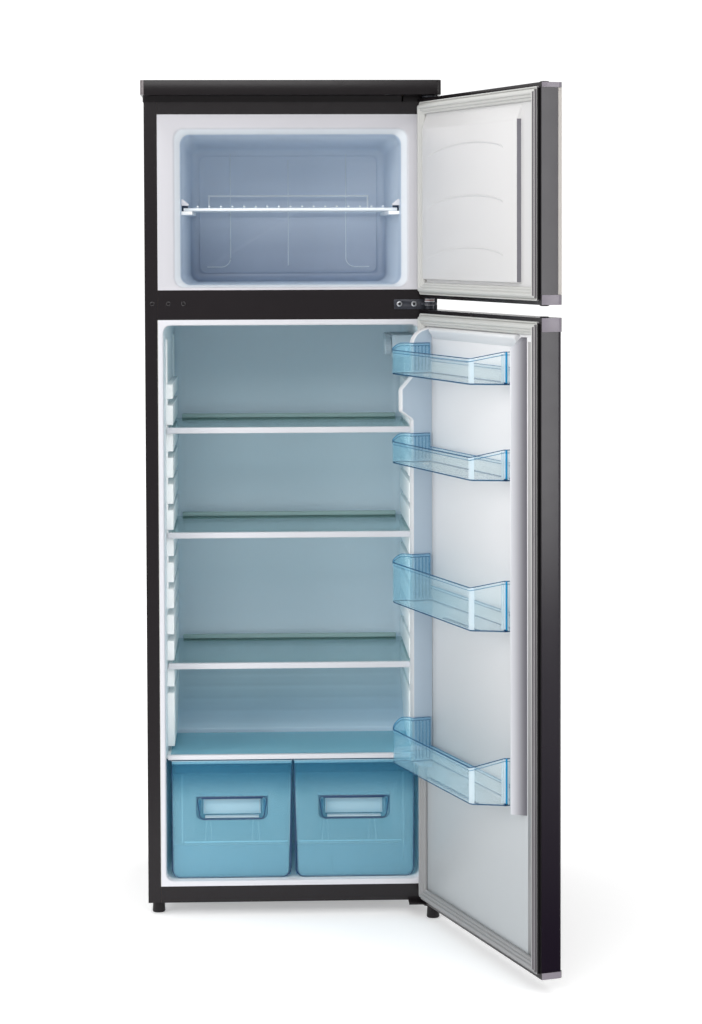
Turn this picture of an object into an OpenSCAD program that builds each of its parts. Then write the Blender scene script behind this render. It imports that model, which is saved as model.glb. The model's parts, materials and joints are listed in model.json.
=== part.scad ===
// Top freezer refrigerator, free standing, both doors hinged on the right.
// Origin: on the floor, under the middle of the cabinet's front edge. +X right, +Y to the rear, +Z up.

/* [Cabinet] */
// Width across the two side panels
cab_w = 600; // [580:5:640]
// Height of the top of the cabinet body, under the worktop
body_top = 1678.5; // [1670:0.5:1690]
// Depth of the cabinet body, front plane to back panel
cab_d = 565; // [540:5:620]
// Height of the body above the floor
foot_h = 28; // [26:1:40]
// Width of the steel edge that the side panel shows at the front
flange_w = 26.7; // [20:0.1:30]
// Thickness of the worktop's upper tier
worktop_h = 29.5; // [20:0.5:40]

/* [Doors] */
// Angle at which both doors stand open
door_open = 108; // [0:1:130]
// Distance of the hinge axis from the middle of the cabinet
hinge_x = 282.5; // [278:0.5:286]
// Distance of the hinge axis in front of the cabinet
hinge_fwd = 27; // [26:0.5:32]
// Bottom of the fridge door
fridge_door_low = 28.5; // [28:0.5:34]
// Top of the fridge door
fridge_door_high = 1253; // [1240:1:1254]
// Bottom of the freezer door
freezer_door_low = 1276.6; // [1276:0.1:1286]
// Top of the freezer door
freezer_door_high = 1684; // [1680:1:1684]

/* [Freezer space] */
// Half width of the freezer space at the mouth, inside the flare
freezer_half = 226; // [210:1:236]
// Height of the freezer floor
freezer_low = 1304.5; // [1300:0.5:1320]
// Height of the freezer ceiling near the mouth
freezer_high = 1612; // [1580:1:1620]
// Depth of the freezer space
freezer_deep = 440; // [420:5:460]
// Height of the wire shelf
wire_shelf_z = 1459.5; // [1440:0.5:1480]

/* [Fridge space] */
// Half width of the fridge space at the mouth
fridge_half = 263; // [258:1:266]
// Height of the fridge floor
fridge_low = 72.5; // [70:0.5:80]
// Height of the fridge ceiling
fridge_high = 1221.5; // [1210:0.5:1224]
// Depth of the fridge space
fridge_deep = 478; // [460:2:490]
// Top of the highest glass shelf
shelf_top = 1005; // [995:1:1010]
// Height from one shelf slot to the next
slot_pitch = 55; // [50:1:56]

/* [Drawers] */
// Height of the drawer rims
drawer_top = 318; // [300:1:320]
// Depth of a drawer, front to back
drawer_deep = 250; // [220:5:255]
// Wall thickness of the clear drawers and bins
clear_wall = 2.4; // [2:0.1:3]

/* [Hidden] */
$fn = 48;

// Colours
black_steel = [0.17, 0.15, 0.16];
black_plastic = [0.10, 0.10, 0.11];
white_plastic = [0.90, 0.90, 0.92];
zinc = [0.66, 0.66, 0.68];
foam_yellow = [0.93, 0.87, 0.66];
clear_blue = [0.45, 0.72, 0.86, 0.6];
glass_green = [0.70, 0.84, 0.80, 0.6];
gasket_grey = [0.75, 0.75, 0.73];

// Sheets and walls
steel = 0.8;
rail_steel = 1.2;
base_steel = 1.2;
liner = 1.5;
half_w = cab_w / 2;
flange_x = half_w - flange_w;
rail_half = flange_x - 0.1;
inner_half = half_w - steel;
foam_back = cab_d - rail_steel;

// Heights of the cabinet's front, from the plinth to the top rail
plinth_top = 62;
bar_low = 1233;
bar_high = 1294;
top_rail_low = 1653;

// Compressor bay: an open niche at the bottom of the back
bay_front = 345;
bay_roof_front = 285;
bay_roof_back = 407;
hump_front = 290;
hump_top = 335;
slope_top = 440;
slope_offset = 0.587;

// Freezer mouth flare and the drafts of its walls
mouth_flare = 14;
flare_deep = 22;
freezer_back_half = 214;
freezer_corner = 15;
freezer_back_high = 1598.5;
mouth_low = 1299;
mouth_high = 1624.5;

// Fridge walls
fridge_draft = 8;
fridge_corner = 27;
rib_x = 247;
rib_front = 102;
rib_back = 440;
slot_h = 14;
slots_above = 1;
slots_below = 10;

// Shelves
glass_t = 4;
shelf_front = 88;
shelf_back = 462;
shelf_glass_half = 252;
shelf_trim_half = 259;
trim_deep = 12;
trim_h = 12;
shelf_slots = [0, 4, 9];
cover_z = 329.5;
cover_front = 24;
cover_back = 284;

// Doors, in the door's own frame: hinge axis at x = 0, y = 0, closed, free edge at -X
door_w = 600;
door_right = half_w - hinge_x;
door_left = door_right - door_w;
door_out = -28;
door_in = 14;
door_round = 8;
cap_bulge = 1.5;
cap_wall = 3;
liner_face = 13.1;
spare_x = door_left + door_right;
freezer_cap_low = 18.5;
freezer_cap_high = 9.4;
fridge_cap_low = 12.5;
fridge_cap_high = 26;
pin_r = 4;
bush_bore_r = 4.05;
bush_r = 7;
boss_r = 9.5;
seal_crest = 26.4;

// Fridge door liner: two upright dikes that hold the bins
dike_x0 = -46;
dike_x1 = -26;
dike_crest = 56;
bump_crest = 80;

// Door bins: bottom, front rim and end height of each, from the top bin down
bin_levels = [[1125, 1175, 1188], [945, 990, 1005], [662, 745, 759], [334, 405, 425]];
bin_front = 102;
bin_back = 16;
bin_hinge_end = 46.5;
bin_wide_end = 30;
bin_free_end = 487;
bin_back_h = 32;
bin_round = 18;

// Drawers
drawer_front = 22;
drawer_low = 73.5;
drawer_out = 252;
drawer_taper = 2;
centre_gap = 1.5;
centre_taper = 7;
drawer_round = 16;
handle_w = 146;
handle_low = 195.5;
handle_high = 242.5;
handle_deep = 24;

// Feet
foot_r = 13.5;
foot_left_at = [-280, 42];
foot_right_at = [287, -30];
hinge_plate = 3.5;
foot_stud_r = 4;
foot_bore_r = 4.05;

// Machine parts in the compressor bay and on the back
compressor_at = [60, 455];
compressor_r = 78;
outlet_x = compressor_at[0] - 92;
outlet_z = 150;
carrier_z = 28;
coil_y = 583;
coil_r = 2.5;
coil_runs = 16;
coil_pitch = 70;
coil_low = 470;
coil_half = 235;
inlet_bend = 20;
wire_r = 1;
wires = 11;
drain_at = [60, 493];

// ---------- helpers ----------

module block(x0, x1, y0, y1, z0, z1)
    translate([x0, y0, z0]) cube([x1 - x0, y1 - y0, z1 - z0]);

// Extrudes an outline in (y, z) along x
module along_x(x0, x1)
    translate([x0, 0, 0]) rotate([90, 0, 90]) linear_extrude(x1 - x0) children();

// Extrudes an outline in (x, z) along y
module along_y(y0, y1)
    translate([0, y1, 0]) rotate([90, 0, 0]) linear_extrude(y1 - y0) children();

// Extrudes an outline in (x, y) along z
module along_z(z0, z1)
    translate([0, 0, z0]) linear_extrude(z1 - z0) children();

module rounded_rect(x0, x1, y0, y1, r) {
    translate([x0 + r, y0]) square([x1 - x0 - 2 * r, y1 - y0]);
    translate([x0, y0 + r]) square([x1 - x0, y1 - y0 - 2 * r]);
    for (x = [x0 + r, x1 - r])
        for (y = [y0 + r, y1 - r])
            translate([x, y]) circle(r = r);
}

module both_sides() {
    children();
    mirror([1, 0, 0]) children();
}

// Round bar along y, from y0 to y1
module rod_y(x, z, r, y0, y1)
    translate([x, y1, z]) rotate([90, 0, 0]) cylinder(r = r, h = y1 - y0);

// Round bar along x, from x0 to x1
module rod_x(y, z, r, x0, x1)
    translate([x0, y, z]) rotate([0, 90, 0]) cylinder(r = r, h = x1 - x0);

module rod_z(x, y, r, z0, z1)
    translate([x, y, z0]) cylinder(r = r, h = z1 - z0);

// Puts a door's parts on the hinge axis, at the angle where the door stands open
module on_hinge()
    translate([hinge_x, -hinge_fwd, 0]) rotate([0, 0, door_open]) children();

function freezer_wall(y) =
    freezer_half - (y - flare_deep) * (freezer_half - freezer_back_half)
        / (freezer_deep - freezer_corner - flare_deep);
function fridge_wall(y) = fridge_half - y * fridge_draft / fridge_deep;

// ---------- cabinet ----------

module side_panel() {
    block(half_w - steel, half_w, 0, cab_d, foot_h, body_top);
    block(flange_x, half_w, 0, steel, foot_h, body_top);
    block(half_w - 15, half_w, cab_d - steel, cab_d, foot_h, body_top);
}

plug_z = 1266.5;
plug_spots = [-285, -252, -221];
plug_hole_r = 3.05;

module side_panel_left() color(black_steel) difference() {
    mirror([1, 0, 0]) side_panel();
    rod_y(plug_spots[0], plug_z, plug_hole_r, -1, 2);
}

module side_panel_right() color(black_steel) side_panel();

module back_panel() color(zinc)
    block(-half_w + 15.1, half_w - 15.1, cab_d - steel, cab_d, bay_roof_back + 1, body_top);

// Bottom sheet, folded up and back to make the compressor bay, and the carrier that spans the bay
module base_plate() color(zinc) {
    difference() {
        union() {
            rod_z(foot_left_at[0], foot_left_at[1], 8, foot_h - 5.5, foot_h);
            along_x(-inner_half, inner_half)
                polygon([[rail_steel, foot_h], [bay_front + base_steel, foot_h],
                    [bay_front + base_steel, bay_roof_front - 0.8], [foam_back, bay_roof_back - 1.4],
                    [foam_back, bay_roof_back], [bay_front, bay_roof_front],
                    [bay_front, foot_h + base_steel], [rail_steel, foot_h + base_steel]]);
        }
        rod_z(drain_at[0], drain_at[1], 8.2, 300, 420);
        for (p = bottom_screws)
            rod_z(p[0], p[1], screw_hole_r, foot_h - 1, foot_h + 3);
        rod_z(foot_left_at[0], foot_left_at[1], foot_bore_r, foot_h - 6, foot_h + 3);
    }
    difference() {
        union() {
            block(-inner_half, inner_half, 395, 515, carrier_z, carrier_z + 2);
            block(-inner_half, inner_half, 395, 397, carrier_z + 2, carrier_z + 16);
            block(-inner_half, inner_half, 513, 515, carrier_z + 2, carrier_z + 16);
        }
        for (p = mount_spots)
            rod_z(p[0], p[1], 5, carrier_z - 1, carrier_z + 3);
    }
}

module plinth() color(black_steel)
    block(-rail_half, rail_half, 0, rail_steel, foot_h, plinth_top);

module middle_rail() color(black_steel) difference() {
    block(-rail_half, rail_half, 0, rail_steel, bar_low, bar_high);
    for (p = middle_screws)
        rod_y(p[0], p[1], screw_hole_r, -1, 3);
    for (x = [plug_spots[1], plug_spots[2]])
        rod_y(x, plug_z, plug_hole_r, -1, 3);
}

module top_rail() color(black_steel)
    block(-rail_half, rail_half, 0, rail_steel, top_rail_low, body_top);

tier_low = body_top + 12;
worktop_top = tier_low + worktop_h;
worktop_front = -54;
worktop_back = 575;

// Moulded top: an upper tier that overhangs the doors, on a lower tier that stands on the cabinet
module worktop() color(black_plastic) difference() {
    union() {
        along_z(tier_low, worktop_top)
            rounded_rect(-half_w - 5, half_w + 5, worktop_front, worktop_back, 9);
        along_z(body_top, tier_low)
            rounded_rect(-half_w - 2, half_w + 2, 0.5, worktop_back - 4, 4);
    }
    block(-half_w + 4, half_w - 4, 6, worktop_back - 12, body_top - 1, worktop_top - 5);
    block(228, 298, -3, 64, body_top - 1, tier_low);
}

module freezer_cavity(grow) {
    w0 = freezer_half + mouth_flare + grow;
    w1 = freezer_half + grow;
    w2 = freezer_back_half + grow;
    corner = freezer_corner + grow;
    back = freezer_deep + grow;
    intersection() {
        along_z(mouth_low - 10, mouth_high + 10) {
            polygon([[-w0, -1], [w0, -1], [w0, 0], [w1, flare_deep], [w2, back - corner],
                [-w2, back - corner], [-w1, flare_deep], [-w0, 0]]);
            translate([-w2 + corner, back - corner - 1]) square([2 * (w2 - corner), corner + 1]);
            for (s = [-1, 1])
                translate([s * (w2 - corner), back - corner]) circle(r = corner);
        }
        along_x(-w0, w0)
            polygon([[-1, mouth_low - grow], [0, mouth_low - grow], [flare_deep, freezer_low - grow],
                [back, freezer_low - grow], [back, freezer_back_high + grow],
                [flare_deep, freezer_high + grow], [0, mouth_high + grow], [-1, mouth_high + grow]]);
        along_y(-1, back)
            rounded_rect(-w0, w0, mouth_low - grow, mouth_high + grow, 20 + grow);
    }
}

module freezer_liner() color(white_plastic) difference() {
    union() {
        block(-rail_half, rail_half, 0, liner, bar_high, top_rail_low);
        intersection() {
            freezer_cavity(liner);
            block(-half_w, half_w, 0, cab_d, 1280, 1660);
        }
    }
    freezer_cavity(0);
}

module fridge_cavity(grow) {
    w0 = fridge_half + grow;
    corner = fridge_corner + grow;
    back = fridge_deep + grow;
    turn = back - corner;
    w1 = w0 - turn * fridge_draft / fridge_deep;
    low = fridge_low - grow;
    high = fridge_high + grow;
    drop = slope_offset * grow;
    intersection() {
        along_z(low, high) {
            polygon([[-w0, -1], [w0, -1], [w0, 0], [w1, turn], [-w1, turn], [-w0, 0]]);
            translate([-w1 + corner, turn - 1]) square([2 * (w1 - corner), corner + 1]);
            for (s = [-1, 1])
                translate([s * (w1 - corner), turn]) circle(r = corner);
        }
        along_x(-w0, w0)
            polygon([[-1, low], [hump_front + grow, low], [hump_front + grow, hump_top - drop],
                [back, slope_top - drop], [back, high], [-1, high]]);
        along_y(-1, back)
            rounded_rect(-w0, w0, low, high, 15 + grow);
    }
}

module fridge_liner() color(white_plastic) difference() {
    union() {
        block(-rail_half, rail_half, 0, liner, plinth_top, bar_low);
        intersection() {
            fridge_cavity(liner);
            block(-half_w, half_w, 0, cab_d, 50, 1240);
        }
    }
    fridge_cavity(0);
}

// One rib on the right wall of the fridge space, between two heights
module wall_rib(z0, z1)
    along_z(z0, z1)
        polygon([[rib_x, rib_front], [fridge_wall(rib_front), rib_front],
            [fridge_wall(rib_back), rib_back], [rib_x, rib_back]]);

slot_floor = shelf_top - 9.3;
low_rib = cover_z + 4;

// Ribs whose gaps are the shelf slots, the ledges of the crisper cover and those of the wire shelf
module shelf_supports() color(white_plastic) both_sides() {
    for (k = [1 - slots_above : slots_below])
        wall_rib(slot_floor - k * slot_pitch + slot_h, slot_floor - (k - 1) * slot_pitch);
    wall_rib(slot_floor + slot_pitch * slots_above + slot_h, slot_floor + slot_pitch * slots_above + 44);
    intersection() {
        wall_rib(low_rib, slot_floor - slots_below * slot_pitch);
        along_x(0, half_w)
            polygon([[0, low_rib], [hump_front - 0.3, low_rib], [hump_front - 0.3, hump_top + 0.4],
                [fridge_deep, slope_top + 0.6], [fridge_deep, fridge_high], [0, fridge_high]]);
    }
    along_z(318.6, cover_z - 7.8)
        polygon([[251, 40], [fridge_wall(40), 40], [fridge_wall(284), 284], [251, 284]]);
    along_z(wire_shelf_z - 11, wire_shelf_z - 3.7)
        polygon([[203, 44], [freezer_wall(44), 44], [freezer_wall(424), 424], [203, 424]]);
}

// Foam in the walls, as the slabs between the steel and the two liners
module cabinet_insulation() color(foam_yellow) {
    out = inner_half - 0.1;
    face = liner + 0.1;
    back = foam_back - 0.1;
    wall0 = fridge_half + liner + 0.1;
    wall1 = fridge_wall(fridge_deep) + liner + 0.1;
    ceiling = fridge_high + liner + 0.1;
    slab_back = fridge_deep + liner + 0.1;
    bottom = foot_h + base_steel + 0.1;
    roof_gap = 0.2;
    hump_y = hump_front + liner + 0.1;
    both_sides() {
        along_z(bottom, ceiling)
            polygon([[out, face], [wall0, face], [wall0 - 5.8, bay_front - 0.1], [out, bay_front - 0.1]]);
        along_z(slope_top, ceiling)
            polygon([[out, bay_front], [wall0 - 5.8, bay_front], [wall1, slab_back], [out, slab_back]]);
        along_z(freezer_low - liner - 0.1, freezer_back_high + liner)
            polygon([[out, face], [freezer_half + mouth_flare + 2, face],
                [freezer_half + 2, flare_deep + 2], [freezer_back_half + 2, freezer_deep + 2],
                [out, freezer_deep + 2]]);
    }
    // floor
    block(-wall0 + 6, wall0 - 6, face, hump_y - 0.1, bottom, fridge_low - liner - 0.1);
    // hump over the compressor bay, and its slope
    along_x(-wall0 + 6, wall0 - 6)
        polygon([[hump_y, bottom], [bay_front - 0.1, bottom], [bay_front - 0.1, bay_roof_front],
            [hump_y, hump_top - 1]]);
    difference() {
        along_x(-out, out)
            polygon([[bay_front, bay_roof_front + roof_gap], [back, bay_roof_back + roof_gap],
                [back, slope_top - 1], [slab_back, slope_top - 1], [bay_front, hump_top + 28]]);
        rod_z(drain_at[0], drain_at[1], 8.2, 300, 500);
    }
    // back of the fridge space
    difference() {
        block(-out, out, slab_back + 1.7, back, slope_top, ceiling);
        rod_z(drain_at[0], drain_at[1], 8.2, 430, 449);
    }
    // between the two spaces
    difference() {
        along_x(-out, out)
            polygon([[face, ceiling + 0.1], [back, ceiling + 0.1], [back, freezer_low - liner - 0.2],
                [flare_deep + 2, freezer_low - liner - 0.2], [face, mouth_low - liner - 0.2]]);
        for (p = middle_screws)
            rod_y(p[0], p[1], screw_hole_r, -1, 14);
        for (x = plug_spots)
            rod_y(x, plug_z, plug_hole_r, -1, 8);
    }
    // back of the freezer space
    block(-out, out, freezer_deep + 3.2, back, freezer_low - liner - 0.1, freezer_back_high + liner);
    // top
    difference() {
        along_x(-out, out)
            polygon([[face, mouth_high + liner + 0.3], [flare_deep + 2, freezer_high + liner + 0.3],
                [freezer_deep, freezer_back_high + liner + 0.3], [back, freezer_back_high + liner + 0.3],
                [back, body_top], [face, body_top]]);
        for (p = top_screws)
            rod_z(p[0], p[1], screw_hole_r, body_top - 14, body_top + 1);
    }
}

// ---------- cooling parts ----------

module evaporator_plates() color(zinc) {
    block(-200, 200, freezer_deep + liner + 0.1, freezer_deep + liner + 1.6, 1320, 1585);
    block(-200, 200, fridge_deep + liner + 0.1, fridge_deep + liner + 1.6, 880, 1190);
}

// Drain from the gutter under the fridge's back wall down to the tray on the compressor
module drain_pipe() color(white_plastic) difference() {
    union() {
        rod_z(drain_at[0], drain_at[1], 8, 238, 448);
        rod_z(drain_at[0], drain_at[1], 6, 226, 240);
    }
    rod_z(drain_at[0], drain_at[1], 4.5, 225, 447);
}

mount_spots = [for (dx = [-82, 82]) for (dy = [-42, 42]) [compressor_at[0] + dx, compressor_at[1] + dy]];
shell_low = 48;
shell_high = 196;

module compressor() color(black_plastic) {
    difference() {
        union() {
            translate([compressor_at[0], compressor_at[1], 0]) rotate_extrude()
                intersection() {
                    union() {
                        translate([0, shell_low + 50]) square([compressor_r, shell_high - shell_low - 100]);
                        translate([compressor_r - 50, shell_low + 50]) circle(r = 50);
                        translate([compressor_r - 50, shell_high - 50]) circle(r = 50);
                        translate([0, shell_low]) square([compressor_r - 50, shell_high - shell_low]);
                    }
                    translate([0, shell_low]) square([compressor_r, shell_high - shell_low]);
                }
            rod_z(compressor_at[0], compressor_at[1], compressor_r + 2, 118, 124);
            block(compressor_at[0] - 98, compressor_at[0] + 98, compressor_at[1] - 52,
                compressor_at[1] + 52, 46, 49.5);
            block(compressor_at[0] + 62, compressor_at[0] + 108, compressor_at[1] - 30,
                compressor_at[1] + 30, 84, 150);
            // discharge tube, out of the shell, back and up to the condenser
            rod_x(compressor_at[1], outlet_z, coil_r, outlet_x, compressor_at[0] - 60);
            rod_y(outlet_x, outlet_z, coil_r, compressor_at[1], coil_y);
            rod_z(outlet_x, coil_y, coil_r, outlet_z, coil_low - inlet_bend);
            for (y = [compressor_at[1], coil_y])
                translate([outlet_x, y, outlet_z]) sphere(r = coil_r);
        }
        for (p = mount_spots)
            rod_z(p[0], p[1], 6, 45, 51);
    }
}

// Rubber grommets between the compressor's feet and the carrier
module compressor_mounts() color([0.12, 0.12, 0.12])
    for (p = mount_spots) {
        rod_z(p[0], p[1], 11, carrier_z + 2.05, 45.9);
        rod_z(p[0], p[1], 5.9, 45.9, 54);
        rod_z(p[0], p[1], 4.9, carrier_z - 3, carrier_z + 2.05);
    }

module drip_tray() color(black_plastic) difference() {
    block(-22, 142, 402, 508, shell_high + 0.1, 224);
    block(-20, 140, 404, 506, shell_high + 3, 225);
}

function run_z(k) = coil_low + k * coil_pitch;

// Condenser: one tube that zigzags up the back, with wires across it
module condenser_coil() color(black_plastic) {
    rod_x(coil_y, coil_low, coil_r, outlet_x + inlet_bend, coil_half);
    for (k = [1 : coil_runs - 1])
        rod_x(coil_y, run_z(k), coil_r, -coil_half, coil_half);
    for (k = [0 : coil_runs - 2])
        translate([k % 2 == 0 ? coil_half : -coil_half, coil_y, run_z(k) + coil_pitch / 2])
            rotate([90, 0, 0]) rotate([0, 0, k % 2 == 0 ? -90 : 90])
                rotate_extrude(angle = 180) translate([coil_pitch / 2, 0]) circle(r = coil_r);
    for (k = [0 : wires - 1])
        rod_z(-215 + k * 43, coil_y + coil_r + wire_r - 0.4, wire_r, coil_low - 12,
            run_z(coil_runs - 1) + 12);
    translate([outlet_x + inlet_bend, coil_y, coil_low - inlet_bend])
        rotate([90, 0, 0]) rotate([0, 0, 90])
            rotate_extrude(angle = 90) translate([inlet_bend, 0]) circle(r = coil_r);
}

bracket_heights = [run_z(1), run_z(8), run_z(14)];

module condenser_brackets() color(black_plastic)
    for (z = bracket_heights)
        for (x = [-172, 172])
            difference() {
                block(x - 12, x + 12, cab_d, coil_y - coil_r - 0.05, z - 14, z + 14);
                rod_x(cab_d + 8, z, 5, x - 13, x + 13);
            }

// Gland where the supply lead would enter, on the left rear edge of the bay
module power_inlet() color(black_plastic) difference() {
    union() {
        block(-half_w + 15, -half_w + 52, cab_d - 22, cab_d, 96, 140);
        rod_y(-half_w + 34, 118, 11, cab_d - 2, cab_d + 12);
    }
    rod_y(-half_w + 34, 118, 4.6, cab_d - 14, cab_d + 13);
}

// ---------- controls ----------

knob_at = [198, 140, 1172];
knob_r = 18;
housing_x = 213;
housing_low = 1150;
housing_high = 1196;
switch_at = [249, 1071];
switch_r = 5;

// Housing of the thermostat and lamp on the right wall, and the housing of the door switch
module thermostat_housing() color(white_plastic) {
    difference() {
        along_z(housing_low, housing_high)
            polygon([[housing_x, 108], [housing_x + 8, 100], [fridge_wall(100), 100],
                [fridge_wall(300), 300], [housing_x, 300]]);
        block(housing_x - 1, 250, 188, 292, housing_low + 5, housing_high - 5);
        rod_x(knob_at[1], knob_at[2], 3.05, housing_x - 1, housing_x + 16);
    }
    difference() {
        along_z(1056, 1086)
            polygon([[238, 62], [fridge_wall(62), 62], [fridge_wall(98), 98], [238, 98]]);
        rod_y(switch_at[0], switch_at[1], switch_r + 0.05, 61, 84);
    }
}

module lamp_bulb() color([0.95, 0.93, 0.85]) {
    rod_y(232, 1173, 6, 188.1, 200);
    translate([232, 204, 1173]) rotate([-90, 0, 0]) rotate_extrude()
        intersection() {
            union() {
                translate([0, 12]) square([11, 34]);
                translate([0, 46]) circle(r = 11);
                translate([0, 12]) circle(r = 11);
                translate([0, -4]) square([6, 20]);
            }
            translate([0, -4]) square([12, 62]);
        }
}

module lamp_cover() color([0.9, 0.93, 0.95, 0.5]) difference() {
    block(204, housing_x - 0.1, 180, 298, housing_low + 1, housing_high - 1);
    block(206, housing_x + 1, 183, 295, housing_low + 4, housing_high - 4);
}

module thermostat_knob() color(white_plastic) {
    translate([knob_at[0], knob_at[1], knob_at[2]]) rotate([0, 90, 0]) {
        difference() {
            union() {
                cylinder(r1 = knob_r - 2, r2 = knob_r, h = 2);
                translate([0, 0, 2]) cylinder(r = knob_r, h = 12.3);
            }
            for (k = [0 : 23])
                rotate([0, 0, k * 15]) translate([knob_r, 0, 3]) cylinder(r = 0.8, h = 12, $fn = 16);
        }
        translate([0, 0, 14.3]) cylinder(r = 3, h = 13);
    }
}

// Sprung button of the door switch
module light_switch() color(white_plastic) {
    rod_y(switch_at[0], switch_at[1], switch_r, 54.2, 74);
}

// ---------- hinges, screws and feet ----------

screw_r = 2.5;
screw_hole_r = 2.55;
head_r = 5.7;
plate_t = 3;
middle_plate_low = 1253.5;
middle_plate_high = 1273.5;
tongue_low = 1263;
tongue_high = 1266.5;
middle_screws = [[222, 1264.5], [252, 1264.5]];
top_screws = [[242, 22], [258, 46], [284, 30]];
bottom_screws = [[246, 22], [262, 46], [286, 30]];
arm_r = 13.5;
arm_low = 1686;
tongue_r = 15.5;

module hinge_top() color(zinc) difference() {
    union() {
        block(232, 296, 4, 58, body_top, body_top + plate_t);
        block(hinge_x - arm_r, 296, 1, 4, body_top, arm_low + plate_t);
        block(hinge_x - arm_r, 296, -hinge_fwd, 4, arm_low, arm_low + plate_t);
        rod_z(hinge_x, -hinge_fwd, arm_r, arm_low, arm_low + plate_t);
        rod_z(hinge_x, -hinge_fwd, pin_r, freezer_door_high - 12, arm_low + plate_t);
    }
    for (p = top_screws)
        rod_z(p[0], p[1], screw_hole_r, body_top - 1, body_top + 4);
}

// Plate on the rail between the doors, with a tongue that carries one pin up and one pin down
module hinge_middle() color(black_steel) difference() {
    union() {
        block(211, 298, -plate_t, 0, middle_plate_low, middle_plate_high);
        block(hinge_x - tongue_r, 298, -hinge_fwd, -1, tongue_low, tongue_high);
        rod_z(hinge_x, -hinge_fwd, tongue_r, tongue_low, tongue_high);
        rod_z(hinge_x, -hinge_fwd, pin_r, fridge_door_high - 12, freezer_door_low + 12);
        rod_z(hinge_x, -hinge_fwd, 8, fridge_door_high + 1.4, freezer_door_low - 1.4);
    }
    for (p = middle_screws)
        rod_y(p[0], p[1], screw_hole_r, -5, 2);
}

// Plate under the cabinet that carries the lower door pin and the right foot
module hinge_bottom() color(black_steel) difference() {
    low = foot_h - hinge_plate;
    union() {
        block(238, 298, -hinge_fwd, 58, low, foot_h);
        rod_z(hinge_x, -hinge_fwd, tongue_r, low, foot_h);
        rod_z(hinge_x, -hinge_fwd, pin_r, low, fridge_door_low + 12);
        rod_z(foot_right_at[0], foot_right_at[1], 8, low - 5.5, low);
    }
    rod_z(foot_right_at[0], foot_right_at[1], foot_bore_r, low - 6, low + 1.5);
    for (p = bottom_screws)
        rod_z(p[0], p[1], screw_hole_r, low - 1, foot_h + 1);
}

// Pan head screw along +z, head at the bottom, underside of the head at z = 0
module screw(length) difference() {
    union() {
        translate([0, 0, -3]) cylinder(r1 = head_r - 1.5, r2 = head_r, h = 1.5);
        translate([0, 0, -1.5]) cylinder(r = head_r, h = 1.5);
        cylinder(r = screw_r, h = length);
    }
    for (a = [0, 90])
        rotate([0, 0, a]) translate([-3, -0.6, -3.5]) cube([6, 1.2, 1.8]);
}

module hinge_screws() color(zinc) {
    for (p = middle_screws)
        translate([p[0], -plate_t, p[1]]) rotate([-90, 0, 0]) screw(15);
    for (p = top_screws)
        translate([p[0], p[1], body_top + plate_t]) rotate([180, 0, 0]) screw(15);
    for (p = bottom_screws)
        translate([p[0], p[1], foot_h - hinge_plate]) screw(hinge_plate + base_steel);
}

module bar_plugs() color(black_plastic)
    for (x = plug_spots) {
        rod_y(x, plug_z, 4, -1.4, 0);
        rod_y(x, plug_z, 3, 0, 7);
    }

rear_foot_x = 250;
rear_foot_y = 455;

module rear_feet() color(black_plastic) both_sides()
    translate([rear_foot_x, rear_foot_y, 0]) {
        cylinder(r1 = 14, r2 = 16, h = 6);
        translate([0, 0, 6]) cylinder(r = 16, h = carrier_z - 6);
    }

// Levelling foot of a given height, with a threaded stud that stands in its boss
module levelling_foot(h, stud) color(black_plastic) {
    difference() {
        union() {
            cylinder(r1 = foot_r - 1, r2 = foot_r, h = 2);
            translate([0, 0, 2]) cylinder(r1 = foot_r, r2 = foot_r - 1.7, h = h - 2);
        }
        translate([0, 0, h - 6.5]) cylinder(r = 9, h = 7);
    }
    translate([0, 0, h - 7]) cylinder(r = foot_stud_r, h = stud);
}

module foot_left()
    translate([foot_left_at[0], foot_left_at[1], 0]) levelling_foot(foot_h - 0.6, 8.6);

module foot_right()
    translate([foot_right_at[0], foot_right_at[1], 0])
        levelling_foot(foot_h - hinge_plate - 0.6, 8.4);

// ---------- doors ----------

// Plan of a door, with its two outer edges rounded, grown by g and reaching y_in at the inner face
module door_plan(g, y_in) {
    r = door_round + g;
    x0 = door_left - g;
    x1 = door_right + g;
    y0 = door_out - g;
    translate([x0, y0 + r]) square([x1 - x0, y_in - y0 - r]);
    translate([x0 + r, y0]) square([x1 - x0 - 2 * r, y_in - y0]);
    for (x = [x0 + r, x1 - r])
        translate([x, y0 + r]) circle(r = r);
}

// Painted sheet that wraps the outer face and both upright edges
module door_skin(z0, z1) {
    difference() {
        along_z(z0, z1) door_plan(0, door_in);
        along_z(z0 - 1, z1 + 1) door_plan(-steel, door_in - steel);
        block(door_left + 14, door_right - 14, door_in - 2, door_in + 1, z0 - 1, z1 + 1);
    }
}

// Moulded end cap of height h, closed side down at z = 0, with the two pin bosses
module door_cap(h) difference() {
    union() {
        difference() {
            along_z(0, h) door_plan(cap_bulge, door_in);
            along_z(cap_wall, h + 1) door_plan(-1.6, door_in - cap_wall);
        }
        for (x = [0, spare_x])
            rod_z(x, 0, boss_r, 0, 14);
    }
    for (x = [0, spare_x])
        rod_z(x, 0, bush_r + 0.02, -1, 15);
}

module door_caps(z0, z1, low, high) {
    translate([0, 0, z0]) door_cap(low);
    translate([0, 0, z1]) mirror([0, 0, 1]) door_cap(high);
}

// Bush for the hinge pin and plug for the spare hole, in a cap whose closed side is at z = 0
module pin_bush(collar) difference() {
    union() {
        rod_z(0, 0, bush_r, 0, 14);
        if (collar > 0)
            rod_z(0, 0, 9, -collar, 0);
    }
    rod_z(0, 0, bush_bore_r, -collar - 1, 13);
}

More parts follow.
